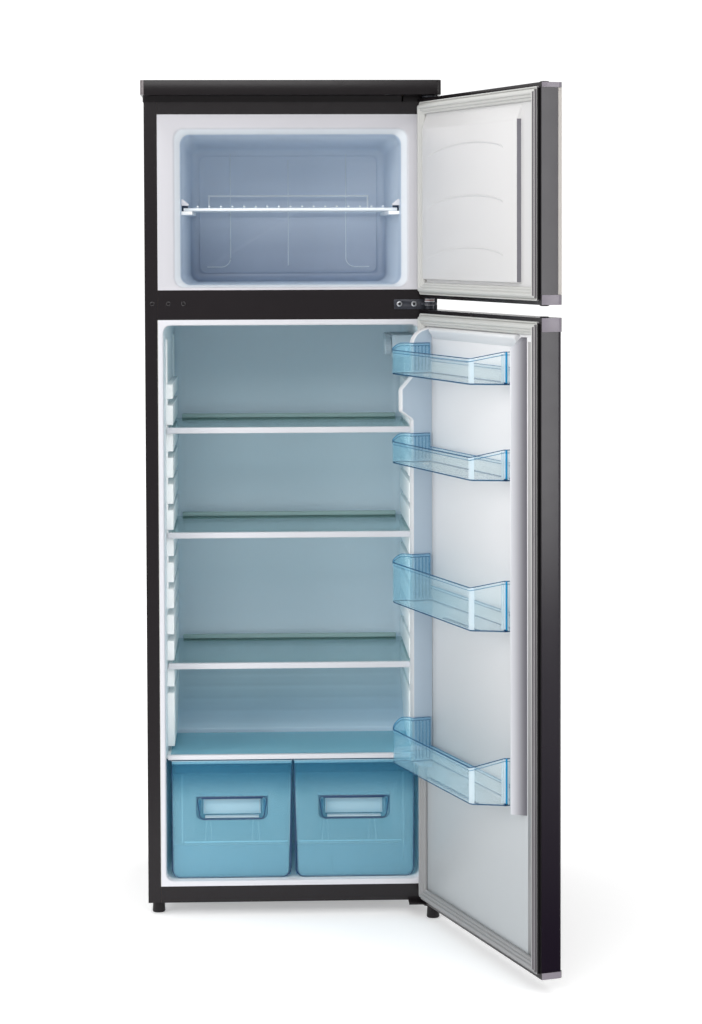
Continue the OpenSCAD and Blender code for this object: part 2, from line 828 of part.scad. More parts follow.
module spare_plug() {
    rod_z(spare_x, 0, bush_r, 0, 9);
    rod_z(spare_x, 0, 9, -1.2, 0);
    translate([spare_x, 0, -2.4]) cylinder(r1 = 6.5, r2 = 9, h = 1.2);
}

module door_inserts(z0, z1, low_collar, high_collar) {
    translate([0, 0, z0]) {
        pin_bush(low_collar);
        spare_plug();
    }
    translate([0, 0, z1]) mirror([0, 0, 1]) {
        pin_bush(high_collar);
        spare_plug();
    }
}

// Foam slab of a door, with pockets for the pin bosses
module door_foam(z0, z1) difference() {
    along_z(z0 + cap_wall + 0.1, z1 - cap_wall - 0.1) door_plan(-1.7, 11);
    for (x = [0, spare_x])
        for (z = [z0, z1 - 16])
            rod_z(x, 0, boss_r + 0.1, z, z + 16);
}

// Seal: three rectangular rings, each one narrower, so that the crest meets the cabinet
module door_gasket(z0, z1) {
    steps = [[10, 15, door_in, 19.5], [7.5, 13, 19.5, 23], [3, 9.5, 23, seal_crest]];
    for (s = steps)
        difference() {
            block(door_right + door_left - s[0], s[0], s[2], s[3], z0 + door_right - s[0],
                z1 - door_right + s[0]);
            block(door_right + door_left + s[1], -s[1], s[2] - 1, s[3] + 1, z0 + door_right + s[1],
                z1 - door_right - s[1]);
        }
}

freezer_panel = [-490, -15.5, 1315.4, 1624];
freezer_panel_out = 23;

module freezer_door_skin() color(black_steel) on_hinge()
    door_skin(freezer_door_low + freezer_cap_low, freezer_door_high - freezer_cap_high);

module freezer_door_caps() color(black_plastic) on_hinge()
    door_caps(freezer_door_low, freezer_door_high, freezer_cap_low, freezer_cap_high);

module freezer_door_inserts() color(black_plastic) on_hinge()
    door_inserts(freezer_door_low, freezer_door_high, 1, 1);

// Raised panel of the freezer door's liner, grown by g
module raised_panel(g, y0)
    block(freezer_panel[0] - g, freezer_panel[1] + g, y0, freezer_panel_out + g,
        freezer_panel[2] - g, freezer_panel[3] + g);

module liner_plate(z0, z1)
    block(door_left + 1, door_right - 1, liner_face - liner, liner_face, z0, z1);

module freezer_door_liner() color(white_plastic) on_hinge() difference() {
    union() {
        liner_plate(freezer_door_low + freezer_cap_low, freezer_door_high - freezer_cap_high);
        raised_panel(0, liner_face - liner);
    }
    raised_panel(-liner, liner_face - liner - 1);
}

module freezer_door_foam() color(foam_yellow) on_hinge() {
    door_foam(freezer_door_low, freezer_door_high);
    raised_panel(-liner - 0.1, liner_face - liner);
}

module freezer_door_gasket() color(gasket_grey) on_hinge()
    door_gasket(freezer_door_low, freezer_door_high);

module fridge_door_skin() color(black_steel) on_hinge()
    door_skin(fridge_door_low + fridge_cap_low, fridge_door_high - fridge_cap_high);

module fridge_door_caps() color(black_plastic) on_hinge()
    door_caps(fridge_door_low, fridge_door_high, fridge_cap_low, fridge_cap_high);

module fridge_door_inserts() color(black_plastic) on_hinge()
    door_inserts(fridge_door_low, fridge_door_high, 0, 1);

liner_back = liner_face - liner;

// Side outline of the dike near the hinge, in (y, z), with the step that passes the door switch
module dike_outline()
    polygon([[liner_back, 318], [44, 324], [dike_crest, 340], [dike_crest, 1032],
        [bump_crest, 1049], [bump_crest, 1094], [dike_crest, 1120], [dike_crest, 1188],
        [48, 1205], [32, 1215], [liner_back, 1219]]);

module dike_core()
    polygon([[liner_back - 1, 319.8], [43, 325.8], [dike_crest - liner, 341],
        [dike_crest - liner, 1033], [bump_crest - liner, 1050], [bump_crest - liner, 1093],
        [dike_crest - liner, 1119], [dike_crest - liner, 1187], [47, 1203.5], [31.5, 1213.5],
        [liner_back - 1, 1217.3]]);

// Plan of the dike near the free edge, a lower sloped ridge
module free_dike_plan(g)
    polygon([[-489.5 - g, liner_back - g], [-490.5 - g, 38 - g], [-497 + g, 38 - g],
        [-519 + 1.6 * g, liner_back - g]]);

module bin_lugs(z)
    for (x = [dike_x0 - 3, -490])
        block(x, x + 3, 22, 34, z - 5, z - 0.5);

module fridge_door_liner() color(white_plastic) on_hinge() difference() {
    union() {
        liner_plate(fridge_door_low + fridge_cap_low, fridge_door_high - fridge_cap_high);
        along_x(dike_x0, dike_x1) dike_outline();
        along_z(321, 1215) free_dike_plan(0);
        for (b = bin_levels)
            bin_lugs(b[0]);
    }
    along_x(dike_x0 + liner, dike_x1 - liner) dike_core();
    along_z(322.5, 1213.5) free_dike_plan(liner);
}

module fridge_door_foam() color(foam_yellow) on_hinge() {
    x0 = dike_x0 + liner + 0.1;
    x1 = dike_x1 - liner - 0.1;
    crest = dike_crest - liner - 0.1;
    bump = bump_crest - liner - 0.1;
    door_foam(fridge_door_low, fridge_door_high);
    along_x(x0, x1) polygon([[11.1, 320.3], [42.5, 326], [crest, 342], [crest, 1033], [11.1, 1033]]);
    along_x(x0, x1)
        polygon([[11.1, 1033.1], [crest, 1033.1], [bump, 1050.3], [bump, 1092.7], [crest, 1118.9],
            [11.1, 1118.9]]);
    along_x(x0, x1)
        polygon([[11.1, 1119], [crest, 1119], [crest, 1186.8], [46.6, 1203], [31, 1213], [11.1, 1217]]);
    along_z(322.6, 1213.4) intersection() {
        free_dike_plan(liner + 0.1);
        translate([-520, 11.1]) square([40, 30]);
    }
}

module fridge_door_gasket() color(gasket_grey) on_hinge()
    door_gasket(fridge_door_low, fridge_door_high);

// ---------- door bins ----------

// Plan of a bin, inset by g: narrow between the dikes, wide in front of the hinge-side dike
module bin_plan(g) {
    polygon([[-bin_hinge_end - g, bin_back + g], [-bin_hinge_end - g, dike_crest + 1.5 + g],
        [-bin_wide_end - g, dike_crest + 5 + g], [-bin_wide_end - g, bin_front - bin_round],
        [-bin_wide_end - bin_round, bin_front - g], [-447 + g / 3, bin_front - g],
        [-458 + g, bin_front - 10], [-484 + g, 46], [-bin_free_end + g, 40],
        [-bin_free_end + g, bin_back + g]]);
    translate([-bin_wide_end - bin_round, bin_front - bin_round]) circle(r = bin_round - g);
}

module bin(level) color(clear_blue) on_hinge() {
    z0 = level[0];
    z1 = level[1];
    z2 = level[2];
    difference() {
        along_z(z0, z2) bin_plan(0);
        along_z(z0 + clear_wall, z2 + 1) bin_plan(clear_wall);
        // the front rim is lower than the two ends
        along_x(-bin_free_end + 12, -bin_hinge_end - 1)
            polygon([[bin_back + 12, z1 + 30], [bin_back + 34, z1 + 30], [bin_front - 30, z1],
                [bin_front + 1, z1], [bin_front + 1, z2 + 30]]);
        block(-bin_free_end - 1, -bin_wide_end + 1, bin_front - 32, bin_front + 1, z1, z2 + 1);
        // low back wall
        block(-bin_free_end + clear_wall, -bin_hinge_end - clear_wall, bin_back - 1,
            bin_back + clear_wall + 0.1, z0 + bin_back_h, z2 + 1);
    }
}

// ---------- inside the cabinet ----------

// Outline of the left drawer seen from the front, inset by g, open at the top
module drawer_outline(g) {
    low = drawer_low + g;
    r = drawer_round - g;
    xl = -drawer_out + drawer_taper + g;
    xr = -centre_gap - centre_taper - g;
    polygon([[-drawer_out + g, drawer_top + 1], [xl, low + r], [xr, low + r],
        [-centre_gap - g, drawer_top + 1]]);
    translate([xl + r, low]) square([xr - xl - 2 * r, r + 1]);
    for (x = [xl + r, xr - r])
        translate([x, low + r]) circle(r = r);
}

module handle_outline(g, cx) {
    w = handle_w / 2 + g;
    r = 14;
    translate([cx - w, handle_low - g + r]) square([2 * w, handle_high - handle_low + 2 * g - r]);
    translate([cx - w + r, handle_low - g]) square([2 * w - 2 * r, r + 1]);
    for (s = [-1, 1])
        translate([cx + s * (w - r), handle_low - g + r]) circle(r = r);
}

// Clear drawer with a pocket in its front as the handle
module drawer() color(clear_blue) {
    cx = -(drawer_out + centre_gap) / 2;
    y0 = drawer_front;
    y1 = drawer_front + drawer_deep;
    difference() {
        union() {
            difference() {
                intersection() {
                    along_y(y0, y1) drawer_outline(0);
                    block(-drawer_out - 1, 0, y0 - 1, y1 + 1, drawer_low - 1, drawer_top);
                }
                along_y(y0 + clear_wall, y1 - clear_wall) drawer_outline(clear_wall);
            }
            along_y(y0 + clear_wall - 0.5, y0 + handle_deep + clear_wall) handle_outline(clear_wall, cx);
        }
        along_y(y0 - 1, y0 + handle_deep) handle_outline(0, cx);
    }
}

module drawer_left() drawer();

module drawer_right() mirror([1, 0, 0]) drawer();

function slot_top(k) = shelf_top - shelf_slots[k] * slot_pitch;

module shelf_glass(k) color(glass_green)
    block(-shelf_glass_half, shelf_glass_half, shelf_front + 5, shelf_back, slot_top(k) - 9,
        slot_top(k) - 9 + glass_t);

// Front profile that wraps the glass edge, and a raised stop along the back
module shelf_trim(k) color(white_plastic) {
    z = slot_top(k);
    glass_low = z - 9;
    difference() {
        block(-shelf_trim_half, shelf_trim_half, shelf_front, shelf_front + trim_deep, z - trim_h, z);
        block(-shelf_glass_half - 0.1, shelf_glass_half + 0.1, shelf_front + 4.9,
            shelf_front + trim_deep + 1, glass_low - 0.02, glass_low + glass_t + 0.02);
    }
    difference() {
        block(-238, 238, shelf_back - 8, shelf_back + 3, glass_low - 2.5, z + 4);
        block(-239, 239, shelf_back - 9, shelf_back + 0.1, glass_low - 0.02, glass_low + glass_t + 0.02);
    }
}

module shelf_glass_1() shelf_glass(0);
module shelf_glass_2() shelf_glass(1);
module shelf_glass_3() shelf_glass(2);
module shelf_trim_1() shelf_trim(0);
module shelf_trim_2() shelf_trim(1);
module shelf_trim_3() shelf_trim(2);

cover_glass_low = cover_z - 7.5;

module crisper_cover_glass() color(glass_green)
    block(-254, 254, cover_front + 5, cover_back, cover_glass_low, cover_glass_low + glass_t);

module crisper_cover_trim() color(white_plastic) difference() {
    block(-shelf_trim_half, shelf_trim_half, cover_front, cover_front + trim_deep, cover_z - 10, cover_z);
    block(-254.1, 254.1, cover_front + 4.9, cover_front + trim_deep + 1, cover_glass_low - 0.02,
        cover_glass_low + glass_t + 0.02);
}

// Wire shelf: a thick front bar, side rails, wires from front to back and a raised stop at the back
module freezer_shelf() color(white_plastic) {
    z = wire_shelf_z;
    wire_back = 408;
    rod_x(60, z, 3.4, -221, 221);
    for (y = [64, 236, wire_back])
        rod_x(y, z - 0.6, 2.1, -211, 211);
    for (k = [0 : 16])
        rod_y(-192 + k * 24, z + 1.6, 1.5, 57, 412);
    for (x = [-211, 211])
        rod_y(x, z, 2.5, 58, 412);
    for (x = [-175, 175])
        rod_z(x, wire_back, 2, z - 0.6, z + 33);
    rod_x(wire_back, z + 33, 2, -177, 177);
}

side_panel_left();
side_panel_right();
back_panel();
base_plate();
worktop();
top_rail();
middle_rail();
plinth();
freezer_liner();
fridge_liner();
shelf_supports();
cabinet_insulation();
evaporator_plates();
drain_pipe();
compressor();
compressor_mounts();
drip_tray();
condenser_coil();
condenser_brackets();
power_inlet();
thermostat_housing();
lamp_bulb();
lamp_cover();
hinge_top();
hinge_middle();
hinge_bottom();
hinge_screws();
bar_plugs();
rear_feet();
freezer_door_skin();
freezer_door_caps();
freezer_door_liner();
freezer_door_foam();
freezer_door_gasket();
freezer_door_inserts();
fridge_door_skin();
fridge_door_caps();
fridge_door_liner();
fridge_door_foam();
fridge_door_gasket();
fridge_door_inserts();
freezer_shelf();
shelf_glass_1();
shelf_glass_2();
shelf_glass_3();
shelf_trim_1();
shelf_trim_2();
shelf_trim_3();
crisper_cover_glass();
crisper_cover_trim();
drawer_left();
drawer_right();
bin(bin_levels[0]);  // bin_1
bin(bin_levels[1]);  // bin_2
bin(bin_levels[2]);  // bin_3
bin(bin_levels[3]);  // bin_4
thermostat_knob();
light_switch();
foot_left();
foot_right();
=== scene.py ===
import json
import math

import bmesh
import bpy
from mathutils import Matrix, Vector

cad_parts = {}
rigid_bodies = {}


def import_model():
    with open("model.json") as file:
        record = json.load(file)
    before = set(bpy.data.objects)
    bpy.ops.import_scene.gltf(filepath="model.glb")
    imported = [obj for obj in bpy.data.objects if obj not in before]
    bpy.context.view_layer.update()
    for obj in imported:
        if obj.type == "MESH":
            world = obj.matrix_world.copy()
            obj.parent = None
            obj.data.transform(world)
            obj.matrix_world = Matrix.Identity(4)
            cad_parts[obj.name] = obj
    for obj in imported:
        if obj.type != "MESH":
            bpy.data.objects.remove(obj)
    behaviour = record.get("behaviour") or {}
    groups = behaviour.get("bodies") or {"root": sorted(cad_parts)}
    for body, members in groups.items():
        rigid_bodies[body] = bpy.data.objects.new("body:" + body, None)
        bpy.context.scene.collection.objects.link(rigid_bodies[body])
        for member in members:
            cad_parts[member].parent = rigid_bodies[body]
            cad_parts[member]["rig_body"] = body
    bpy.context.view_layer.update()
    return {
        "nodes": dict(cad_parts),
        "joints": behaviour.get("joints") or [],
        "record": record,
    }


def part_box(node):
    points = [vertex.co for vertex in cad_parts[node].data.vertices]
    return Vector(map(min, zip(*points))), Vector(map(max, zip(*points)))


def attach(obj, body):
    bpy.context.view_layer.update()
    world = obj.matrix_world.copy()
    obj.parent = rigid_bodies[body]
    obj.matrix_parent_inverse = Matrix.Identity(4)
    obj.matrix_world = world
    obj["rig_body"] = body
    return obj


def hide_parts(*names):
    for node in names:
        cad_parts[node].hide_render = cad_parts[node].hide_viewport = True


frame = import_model()

MM = 0.001
NODES = frame["nodes"]
RECORD = frame["record"]


# ---------- where things are ----------

def home(node):
    """The body that a CAD node rides on."""
    return NODES[node]["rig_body"]


def joint(name):
    return next(j for j in frame["joints"] if j["name"] == name)


def hinge_matrix(name):
    """From a door's own frame, closed and with its axis at the origin, to where it stands at rest."""
    found = joint(name)
    turn = math.radians(-found["range_deg"][0])
    return Matrix.Translation(Vector(found["pos_m"])) @ Matrix.Rotation(turn, 4, "Z")


FREEZER_DOOR = hinge_matrix("freezer_door_hinge")
FRIDGE_DOOR = hinge_matrix("fridge_door_hinge")


def box_mm(node, matrix=None):
    """Lowest and highest corner of a CAD node in mm, in the row frame or in a door's own frame."""
    if matrix is None:
        lo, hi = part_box(node)
        return lo / MM, hi / MM
    back = matrix.inverted()
    points = [back @ v.co for v in NODES[node].data.vertices]
    lo = Vector([min(p[i] for p in points) for i in range(3)])
    hi = Vector([max(p[i] for p in points) for i in range(3)])
    return lo / MM, hi / MM


# ---------- materials ----------

def linear(value):
    value /= 255
    return value / 12.92 if value <= 0.04045 else ((value + 0.055) / 1.055) ** 2.4


def srgb(r, g, b):
    """Shader colour from one given as 0 to 255, as the colours of all finishes are."""
    return (linear(r), linear(g), linear(b), 1)


def new_material(name):
    material = bpy.data.materials.new(name)
    material.use_nodes = True
    tree = material.node_tree
    tree.nodes.clear()
    return material, tree


def wire(tree, node, inputs):
    """Gives each input of a node a value, or links it to another node's output."""
    for key, value in inputs.items():
        if isinstance(value, bpy.types.NodeSocket):
            tree.links.new(value, node.inputs[key])
        else:
            node.inputs[key].default_value = value
    return node


def add_node(tree, kind, inputs):
    return wire(tree, tree.nodes.new(kind), inputs)


def object_position(tree):
    return tree.nodes.new("ShaderNodeTexCoord").outputs["Object"]


def noise(tree, scale, detail=2):
    """Value of a noise in the object's own coordinates."""
    texture = add_node(tree, "ShaderNodeTexNoise", {
        "Vector": object_position(tree), "Scale": scale, "Detail": detail})
    return texture.outputs["Fac"]


def ranged(tree, value, low, high):
    node = add_node(tree, "ShaderNodeMapRange", {"Value": value, "To Min": low, "To Max": high})
    return node.outputs["Result"]


def mixed_colour(tree, factor, first, second):
    """From the first colour to the second one; each is a colour or a node's output."""
    node = tree.nodes.new("ShaderNodeMix")
    node.data_type = "RGBA"
    wire(tree, node, {"Factor": factor, "A": first, "B": second})
    return node.outputs["Result"]


def smooth_step(tree, position, axis, start, end):
    """Map range node that eases along an axis of a position, from start to end."""
    parts = add_node(tree, "ShaderNodeSeparateXYZ", {"Vector": position})
    node = add_node(tree, "ShaderNodeMapRange", {
        "Value": parts.outputs[axis], "From Min": start, "From Max": end})
    node.interpolation_type = "SMOOTHSTEP"
    return node


def along(tree, axis, start, end):
    """0 before start and 1 after end, in metres along an axis of the row frame."""
    return smooth_step(tree, object_position(tree), axis, start, end).outputs["Result"]


def shaded(colour, spread):
    return tuple(min(1, c * spread) for c in colour[:3]) + (1,)


def mottled(tree, colour, spread=0.05):
    colour = srgb(*colour)
    return mixed_colour(tree, noise(tree, 9), shaded(colour, 1 - spread), shaded(colour, 1 + spread))


def opaque(tree, tint, rough, metallic=0, specular=0.45, grain=160, depth=0.02):
    """Opaque shader with an uneven gloss and, where depth in mm isn't 0, a fine grain."""
    shader = add_node(tree, "ShaderNodeBsdfPrincipled", {
        "Base Color": tint, "Metallic": metallic, "Specular IOR Level": specular,
        "Roughness": ranged(tree, noise(tree, 35), rough * 0.88, rough * 1.12)})
    if depth:
        bump = add_node(tree, "ShaderNodeBump", {
            "Strength": 0.4, "Distance": depth * MM, "Height": noise(tree, grain, 3)})
        tree.links.new(bump.outputs["Normal"], shader.inputs["Normal"])
    add_node(tree, "ShaderNodeOutputMaterial", {"Surface": shader.outputs["BSDF"]})
    return shader


def surface(name, colour, rough=0.4, metallic=0.0, specular=0.5, grain=900, depth=0.05, mottle=0.05):
    """Opaque finish with a faint mottle."""
    material, tree = new_material(name)
    opaque(tree, mottled(tree, colour, mottle), rough, metallic, specular, grain, depth)
    return material


def moulded(name, colour, rough=0.35, specular=0.45, mottle=0.015):
    """Smooth plastic, almost of one colour."""
    return surface(name, colour, rough, 0, specular, 160, 0.02, mottle)


def painted_shade_ramp(name, front, back, axis, start, end, rough=0.35):
    """Smooth plastic whose colour goes from front to back along an axis of the row frame: painted shade,
    darker towards one end.
    """
    material, tree = new_material(name)
    deep = along(tree, axis, start, end)
    opaque(tree, mixed_colour(tree, deep, srgb(*front), srgb(*back)), rough)
    return material


def painted_light_and_shade_by_depth(name, front, stages, high):
    """Smooth plastic that takes on the colour of each stage (start, end, colour) along y, as painted light
    and shade by depth.
    At the back it also turns to the colour of high = (from z, to z, colour), a painted change of light and
    shade by height."""
    material, tree = new_material(name)
    tint = srgb(*front)
    for start, end, colour in stages:
        tint = mixed_colour(tree, along(tree, "Y", start, end), tint, srgb(*colour))
    both = tree.nodes.new("ShaderNodeMath")
    both.operation = "MULTIPLY"
    wire(tree, both, {0: along(tree, "Z", high[0], high[1]), 1: along(tree, "Y", 0.05, 0.4)})
    opaque(tree, mixed_colour(tree, both.outputs["Value"], tint, srgb(*high[2])), 0.35)
    return material


def clear(name, tint, body, gloss=0.09, bodied=0.1, fade=None):
    """Clear plastic or glass: light goes through tinted, with a gloss that grows at a slant.
    A tint is the share of light let through; bodied is the share that the body scatters.
    With fade = (axis, start, end, tint, body) it turns to that second tint and body."""
    material, tree = new_material(name)
    tint = mixed_colour(tree, noise(tree, 6), tint, shaded(tint, 0.97))
    body = srgb(*body)
    if fade:
        far = along(tree, *fade[:3])
        tint = mixed_colour(tree, far, tint, fade[3])
        body = mixed_colour(tree, far, body, srgb(*fade[4]))
    through = add_node(tree, "ShaderNodeBsdfTransparent", {"Color": tint})
    inner = add_node(tree, "ShaderNodeBsdfDiffuse", {"Color": body})
    glossy = add_node(tree, "ShaderNodeBsdfGlossy", {"Roughness": gloss})
    slant = add_node(tree, "ShaderNodeLayerWeight", {"Blend": 0.22})
    first = add_node(tree, "ShaderNodeMixShader", {
        "Fac": bodied, 1: through.outputs["BSDF"], 2: inner.outputs["BSDF"]})
    second = add_node(tree, "ShaderNodeMixShader", {
        "Fac": ranged(tree, slant.outputs["Facing"], 0.012, 0.25),
        1: first.outputs["Shader"], 2: glossy.outputs["BSDF"]})
    add_node(tree, "ShaderNodeOutputMaterial", {"Surface": second.outputs["Shader"]})
    return material


def edge_paint(name, colour, low, high):
    """Dark paint whose shine fades away towards the floor, between two heights in metres: a painted fading
    of the reflection.
    """
    material, tree = new_material(name)
    shine = ranged(tree, along(tree, "Z", low, high), 0.01, 0.38)
    opaque(tree, mottled(tree, colour), 0.22, 0, shine, 700)
    return material


WHITE = (216, 216, 221)
FINISHES = {
    "dark_painted_steel": ((24, 19, 22), 0.22, 0, 0.32, 700, 0.02),
    "galvanised_steel": ((168, 170, 172), 0.42, 0.9, 0.5, 60, 0.05, 0.15),
    "zinc_steel": ((196, 198, 202), 0.3, 0.95, 0.5, 300, 0.03),
    "black_plastic": ((22, 18, 20), 0.26, 0, 0.27, 1400, 0.03),
    "white_plastic": (WHITE, 0.35, 0, 0.45, 160, 0.02, 0.015),
    "cream_plastic": ((222, 220, 208), 0.4, 0, 0.45, 300, 0.03),
    "insulation_foam": ((222, 200, 140), 0.9, 0, 0.2, 400, 0.6, 0.12),
    "evaporator_aluminium": ((190, 192, 195), 0.4, 0.9),
    "black_enamel": ((26, 26, 28), 0.32, 0, 0.5, 300, 0.06),
    "black_rubber": ((30, 30, 30), 0.75, 0, 0.3, 800, 0.1),
    "grey_gasket": ((197, 197, 194), 0.55, 0, 0.35, 500, 0.04, 0.03),
    "white_wire": ((240, 246, 252), 0.35, 0, 0.5, 400, 0.02),
}
CLEAR_FINISHES = {
    "lamp_glass": ((0.97, 0.97, 0.95, 1), (235, 235, 228), 0.05, 0.35),
    "shelf_glass": ((0.88, 0.945, 0.95, 1), (180, 215, 215), 0.03, 0.05),
    "clear_blue_plastic": ((0.86, 0.965, 0.99, 1), (170, 232, 254), 0.05, 0.24,
                           ("Z", 0.225, 0.305, (0.62, 0.84, 0.91, 1), (74, 150, 184))),
}
M = {name: surface(name, *values) for name, values in FINISHES.items()}
M.update({name: clear(name, *values) for name, values in CLEAR_FINISHES.items()})
# Painted light and shade on the fridge liner: lighter at the mouth, darker and bluer deeper in and on the
# slope over the hump.
FRIDGE_SPACE_LIGHT_AND_SHADE = painted_light_and_shade_by_depth("fridge_liner_painted_light_and_shade", WHITE, (
    (0.003, 0.03, (240, 250, 254)), (0.24, 0.46, (203, 219, 230))),
    high=(0.445, 0.345, (158, 186, 207)))
# Painted light and shade on the freezer liner: lighter on the flare and near the mouth, darker and bluer at
# the back, lighter high up at the back.
FREEZER_SPACE_LIGHT_AND_SHADE = painted_light_and_shade_by_depth("freezer_liner_painted_light_and_shade", (198, 197, 202), (
    (0.0005, 0.007, (227, 231, 235)), (0.0205, 0.0235, (192, 207, 223)),
    (0.04, 0.12, (217, 229, 241)), (0.35, 0.445, (146, 162, 186))),
    high=(1.25, 1.58, (228, 240, 253)))
# Lighter colour of the freezer's back channels: a painted highlight.
FREEZER_CHANNEL_HIGHLIGHT = moulded("freezer_channel_painted_highlight", (232, 243, 250))
# Dark blue-grey in the slots of the freezer walls: painted shadow.
SLOT_SHADOW = surface("freezer_slot_painted_shadow", (74, 88, 112), 0.6, 0, 0.2)
# Door liner darker towards the bottom: painted shade.
DOOR_LINER_PAINTED_SHADE = painted_shade_ramp("door_liner_painted_shade", (166, 171, 174), (219, 219, 221), "Z", 0.0, 1.15)
PANEL_DOOR = moulded("freezer_panel_plastic", (206, 205, 205), mottle=0.012)
# Free side wall of the freezer door's raised panel: painted shade.
PANEL_SIDE_SHADE = moulded("freezer_panel_side_painted_shade", (122, 121, 128), 0.4, 0.4)
# Outer wall of the free-side dike, darker towards its foot: painted shade.
DIKE_WALL_PAINTED_SHADE = painted_shade_ramp("dike_wall_painted_shade", (204, 205, 211), (92, 90, 98), "X", 0.396, 0.43, 0.45)
# Blue-grey face of the hinge-side dike towards the bins: painted shade.
DIKE_SIDE_SHADE = moulded("dike_inner_side_painted_shade", (170, 184, 197), 0.4, 0.4)
# Grey border strip by the seal, darker lower down: painted shade.
BORDER_SHADE = painted_shade_ramp("door_border_painted_shade", (138, 138, 139), (178, 177, 176), "Z", 0.1, 1.2)
THERMOSTAT = moulded("thermostat_plastic", (162, 179, 189), 0.4, 0.4)
# Ribs and wall bands, darker and bluer towards the back: painted shade.
RIB_PAINTED_SHADE = painted_shade_ramp("rib_painted_depth_shade", (253, 255, 255), (236, 246, 250), "Y", 0.1, 0.4)
STOP_GREEN = moulded("rear_stop_plastic", (158, 182, 180), 0.4, 0.4, 0.05)
PLUG_GREY = surface("plug_rim_plastic", (150, 148, 150), 0.3, 0, 0.5, 1400, 0.03)
# Lighter left end of the worktop: a painted highlight.
WORKTOP_HIGHLIGHT = surface("worktop_painted_highlight", (104, 97, 99), 0.3, 0, 0.5, 1400, 0.03)
# Free edges of the doors, their shine fading towards the floor: a painted fading of the reflection.
EDGE_FADING_REFLECTION = edge_paint("door_edge_fading_reflection", (24, 18, 28), 0.05, 0.62)
# Lighter free ends of the door caps: a painted highlight.
CAP_END_HIGHLIGHT = surface("cap_end_painted_highlight", (122, 116, 125), 0.3, 0, 0.4, 1400, 0.03)
# Bright corner and front band of the freezer door's sheet: a painted highlight.
SHEET_EDGE_HIGHLIGHT = surface("sheet_edge_painted_highlight", (158, 153, 148), 0.35, 0.1, 0.5, 500, 0.02)
# Black of the sheet's folded edge, also used for painted shade on the seal's outer side.
BLACK_EDGE_AND_SEAL_SHADE = surface("door_edge_black_and_seal_shade", (12, 10, 12), 0.5, 0, 0.15)
# Seal darker towards the bottom: painted shade.
SEAL = painted_shade_ramp("seal_rubber_painted_shade", (142, 142, 143), (190, 190, 187), "Z", 0.0, 1.25, 0.55)
# Dark groove of the seal at the free side: painted shade.
SEAL_GROOVE_SHADE = surface("seal_groove_painted_shade", (92, 88, 92), 0.6, 0, 0.3)
HINGE_GREY = surface("hinge_paint", (46, 48, 56), 0.35, 0.2, 0.4, 500, 0.03)
# Light rim of the middle hinge plate: a painted highlight.
HINGE_RIM_HIGHLIGHT = surface("hinge_rim_painted_highlight", (150, 154, 166), 0.35, 0.2, 0.5, 500, 0.03)
# Dark hexagons in the screw heads: painted shade in their sockets.
SOCKET_SHADE = surface("screw_socket_painted_shade", (28, 28, 34), 0.5, 0.3)
COPPER_BROWN = surface("brown_washer", (120, 70, 52), 0.4, 0.4)
NAVY_LINE = surface("drawer_outline", (24, 58, 96), 0.3, 0, 0.5, 200, 0.02)
DARK_SLIT = surface("slit_shadow", (24, 66, 98), 0.6, 0, 0.2)
COVER_GLASS = clear("cover_glass", (0.90, 0.97, 0.98, 1), (165, 228, 248), 0.03, 0.42)
BLUE_PLATE = clear("blue_plate", (0.92, 0.975, 0.995, 1), (165, 215, 242), 0.05, 0.1)
BLUE_FIN = clear("blue_fin", (0.80, 0.93, 0.98, 1), (124, 190, 232), 0.05, 0.12)
BLUE_LOOP = clear("blue_loop", (0.85, 0.955, 0.985, 1), (140, 212, 238), 0.05, 0.2)
BLUE_EDGE = clear("blue_edge", (0.52, 0.81, 0.93, 1), (84, 165, 218), 0.08, 0.3)
# Bright bands and lines on the clear parts: painted highlights.
BLUE_PAINTED_HIGHLIGHT = clear("blue_painted_highlight", (0.90, 0.97, 0.99, 1), (226, 240, 248), 0.08, 0.5)
GRIP_BLUE = clear("grip_blue", (0.85, 0.95, 0.99, 1), (200, 235, 248), 0.05, 0.62)
BAND_BLUE = clear("band_blue", (0.68, 0.86, 0.93, 1), (60, 130, 172), 0.05, 0.12)
LOW_BLUE = clear("low_blue", (0.84, 0.94, 0.975, 1), (96, 172, 212), 0.05, 0.12)
NAVY = clear("navy_edge", (0.10, 0.30, 0.46, 1), (22, 70, 112), 0.1, 0.55)
TURQUOISE = clear("turquoise_edge", (0.30, 0.80, 0.95, 1), (40, 160, 212), 0.1, 0.6)


def bin_plastic(name, bodied, reach):
    """Clear blue that is paler at the free end; reach is the share of a bin's width it fades over."""
    near, far = (corner.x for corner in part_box("bin_1"))
    fade = ("X", near, near + reach * (far - near), (0.984, 0.998, 1, 1), (238, 251, 255))
    return clear(name, (0.95, 0.99, 0.998, 1), (180, 228, 247), 0.04, bodied, fade)


BIN_CLEAR = bin_plastic("bin_clear", 0.11, 0.42)
BIN_DEEP = bin_plastic("bin_clear_deep", 0.13, 0.95)

SLOT_OF = {s["node"]: s["material_slot"] for s in RECORD["subparts"] if "material_slot" in s}


# ---------- mesh helpers, in mm ----------

def loft(bm, rings, closed=True, wrap=False, index=0):
    """Quads between neighbouring rings, which have the same number of points."""
    rows = [[bm.verts.new(p) for p in ring] for ring in rings]
    pairs = list(zip(rows, rows[1:]))
    if wrap:
        pairs.append((rows[-1], rows[0]))
    for a, b in pairs:
        count = len(a)
        for i in range(count if closed else count - 1):
            j = (i + 1) % count
            bm.faces.new((a[i], a[j], b[j], b[i])).material_index = index
    return rows


def add_solid(bm, rings, index=0):
    """Closed form through rings, with a flat cap at each end."""
    rows = loft(bm, rings, index=index)
    for cap in (rows[0], list(reversed(rows[-1]))):
        bm.faces.new(cap).material_index = index


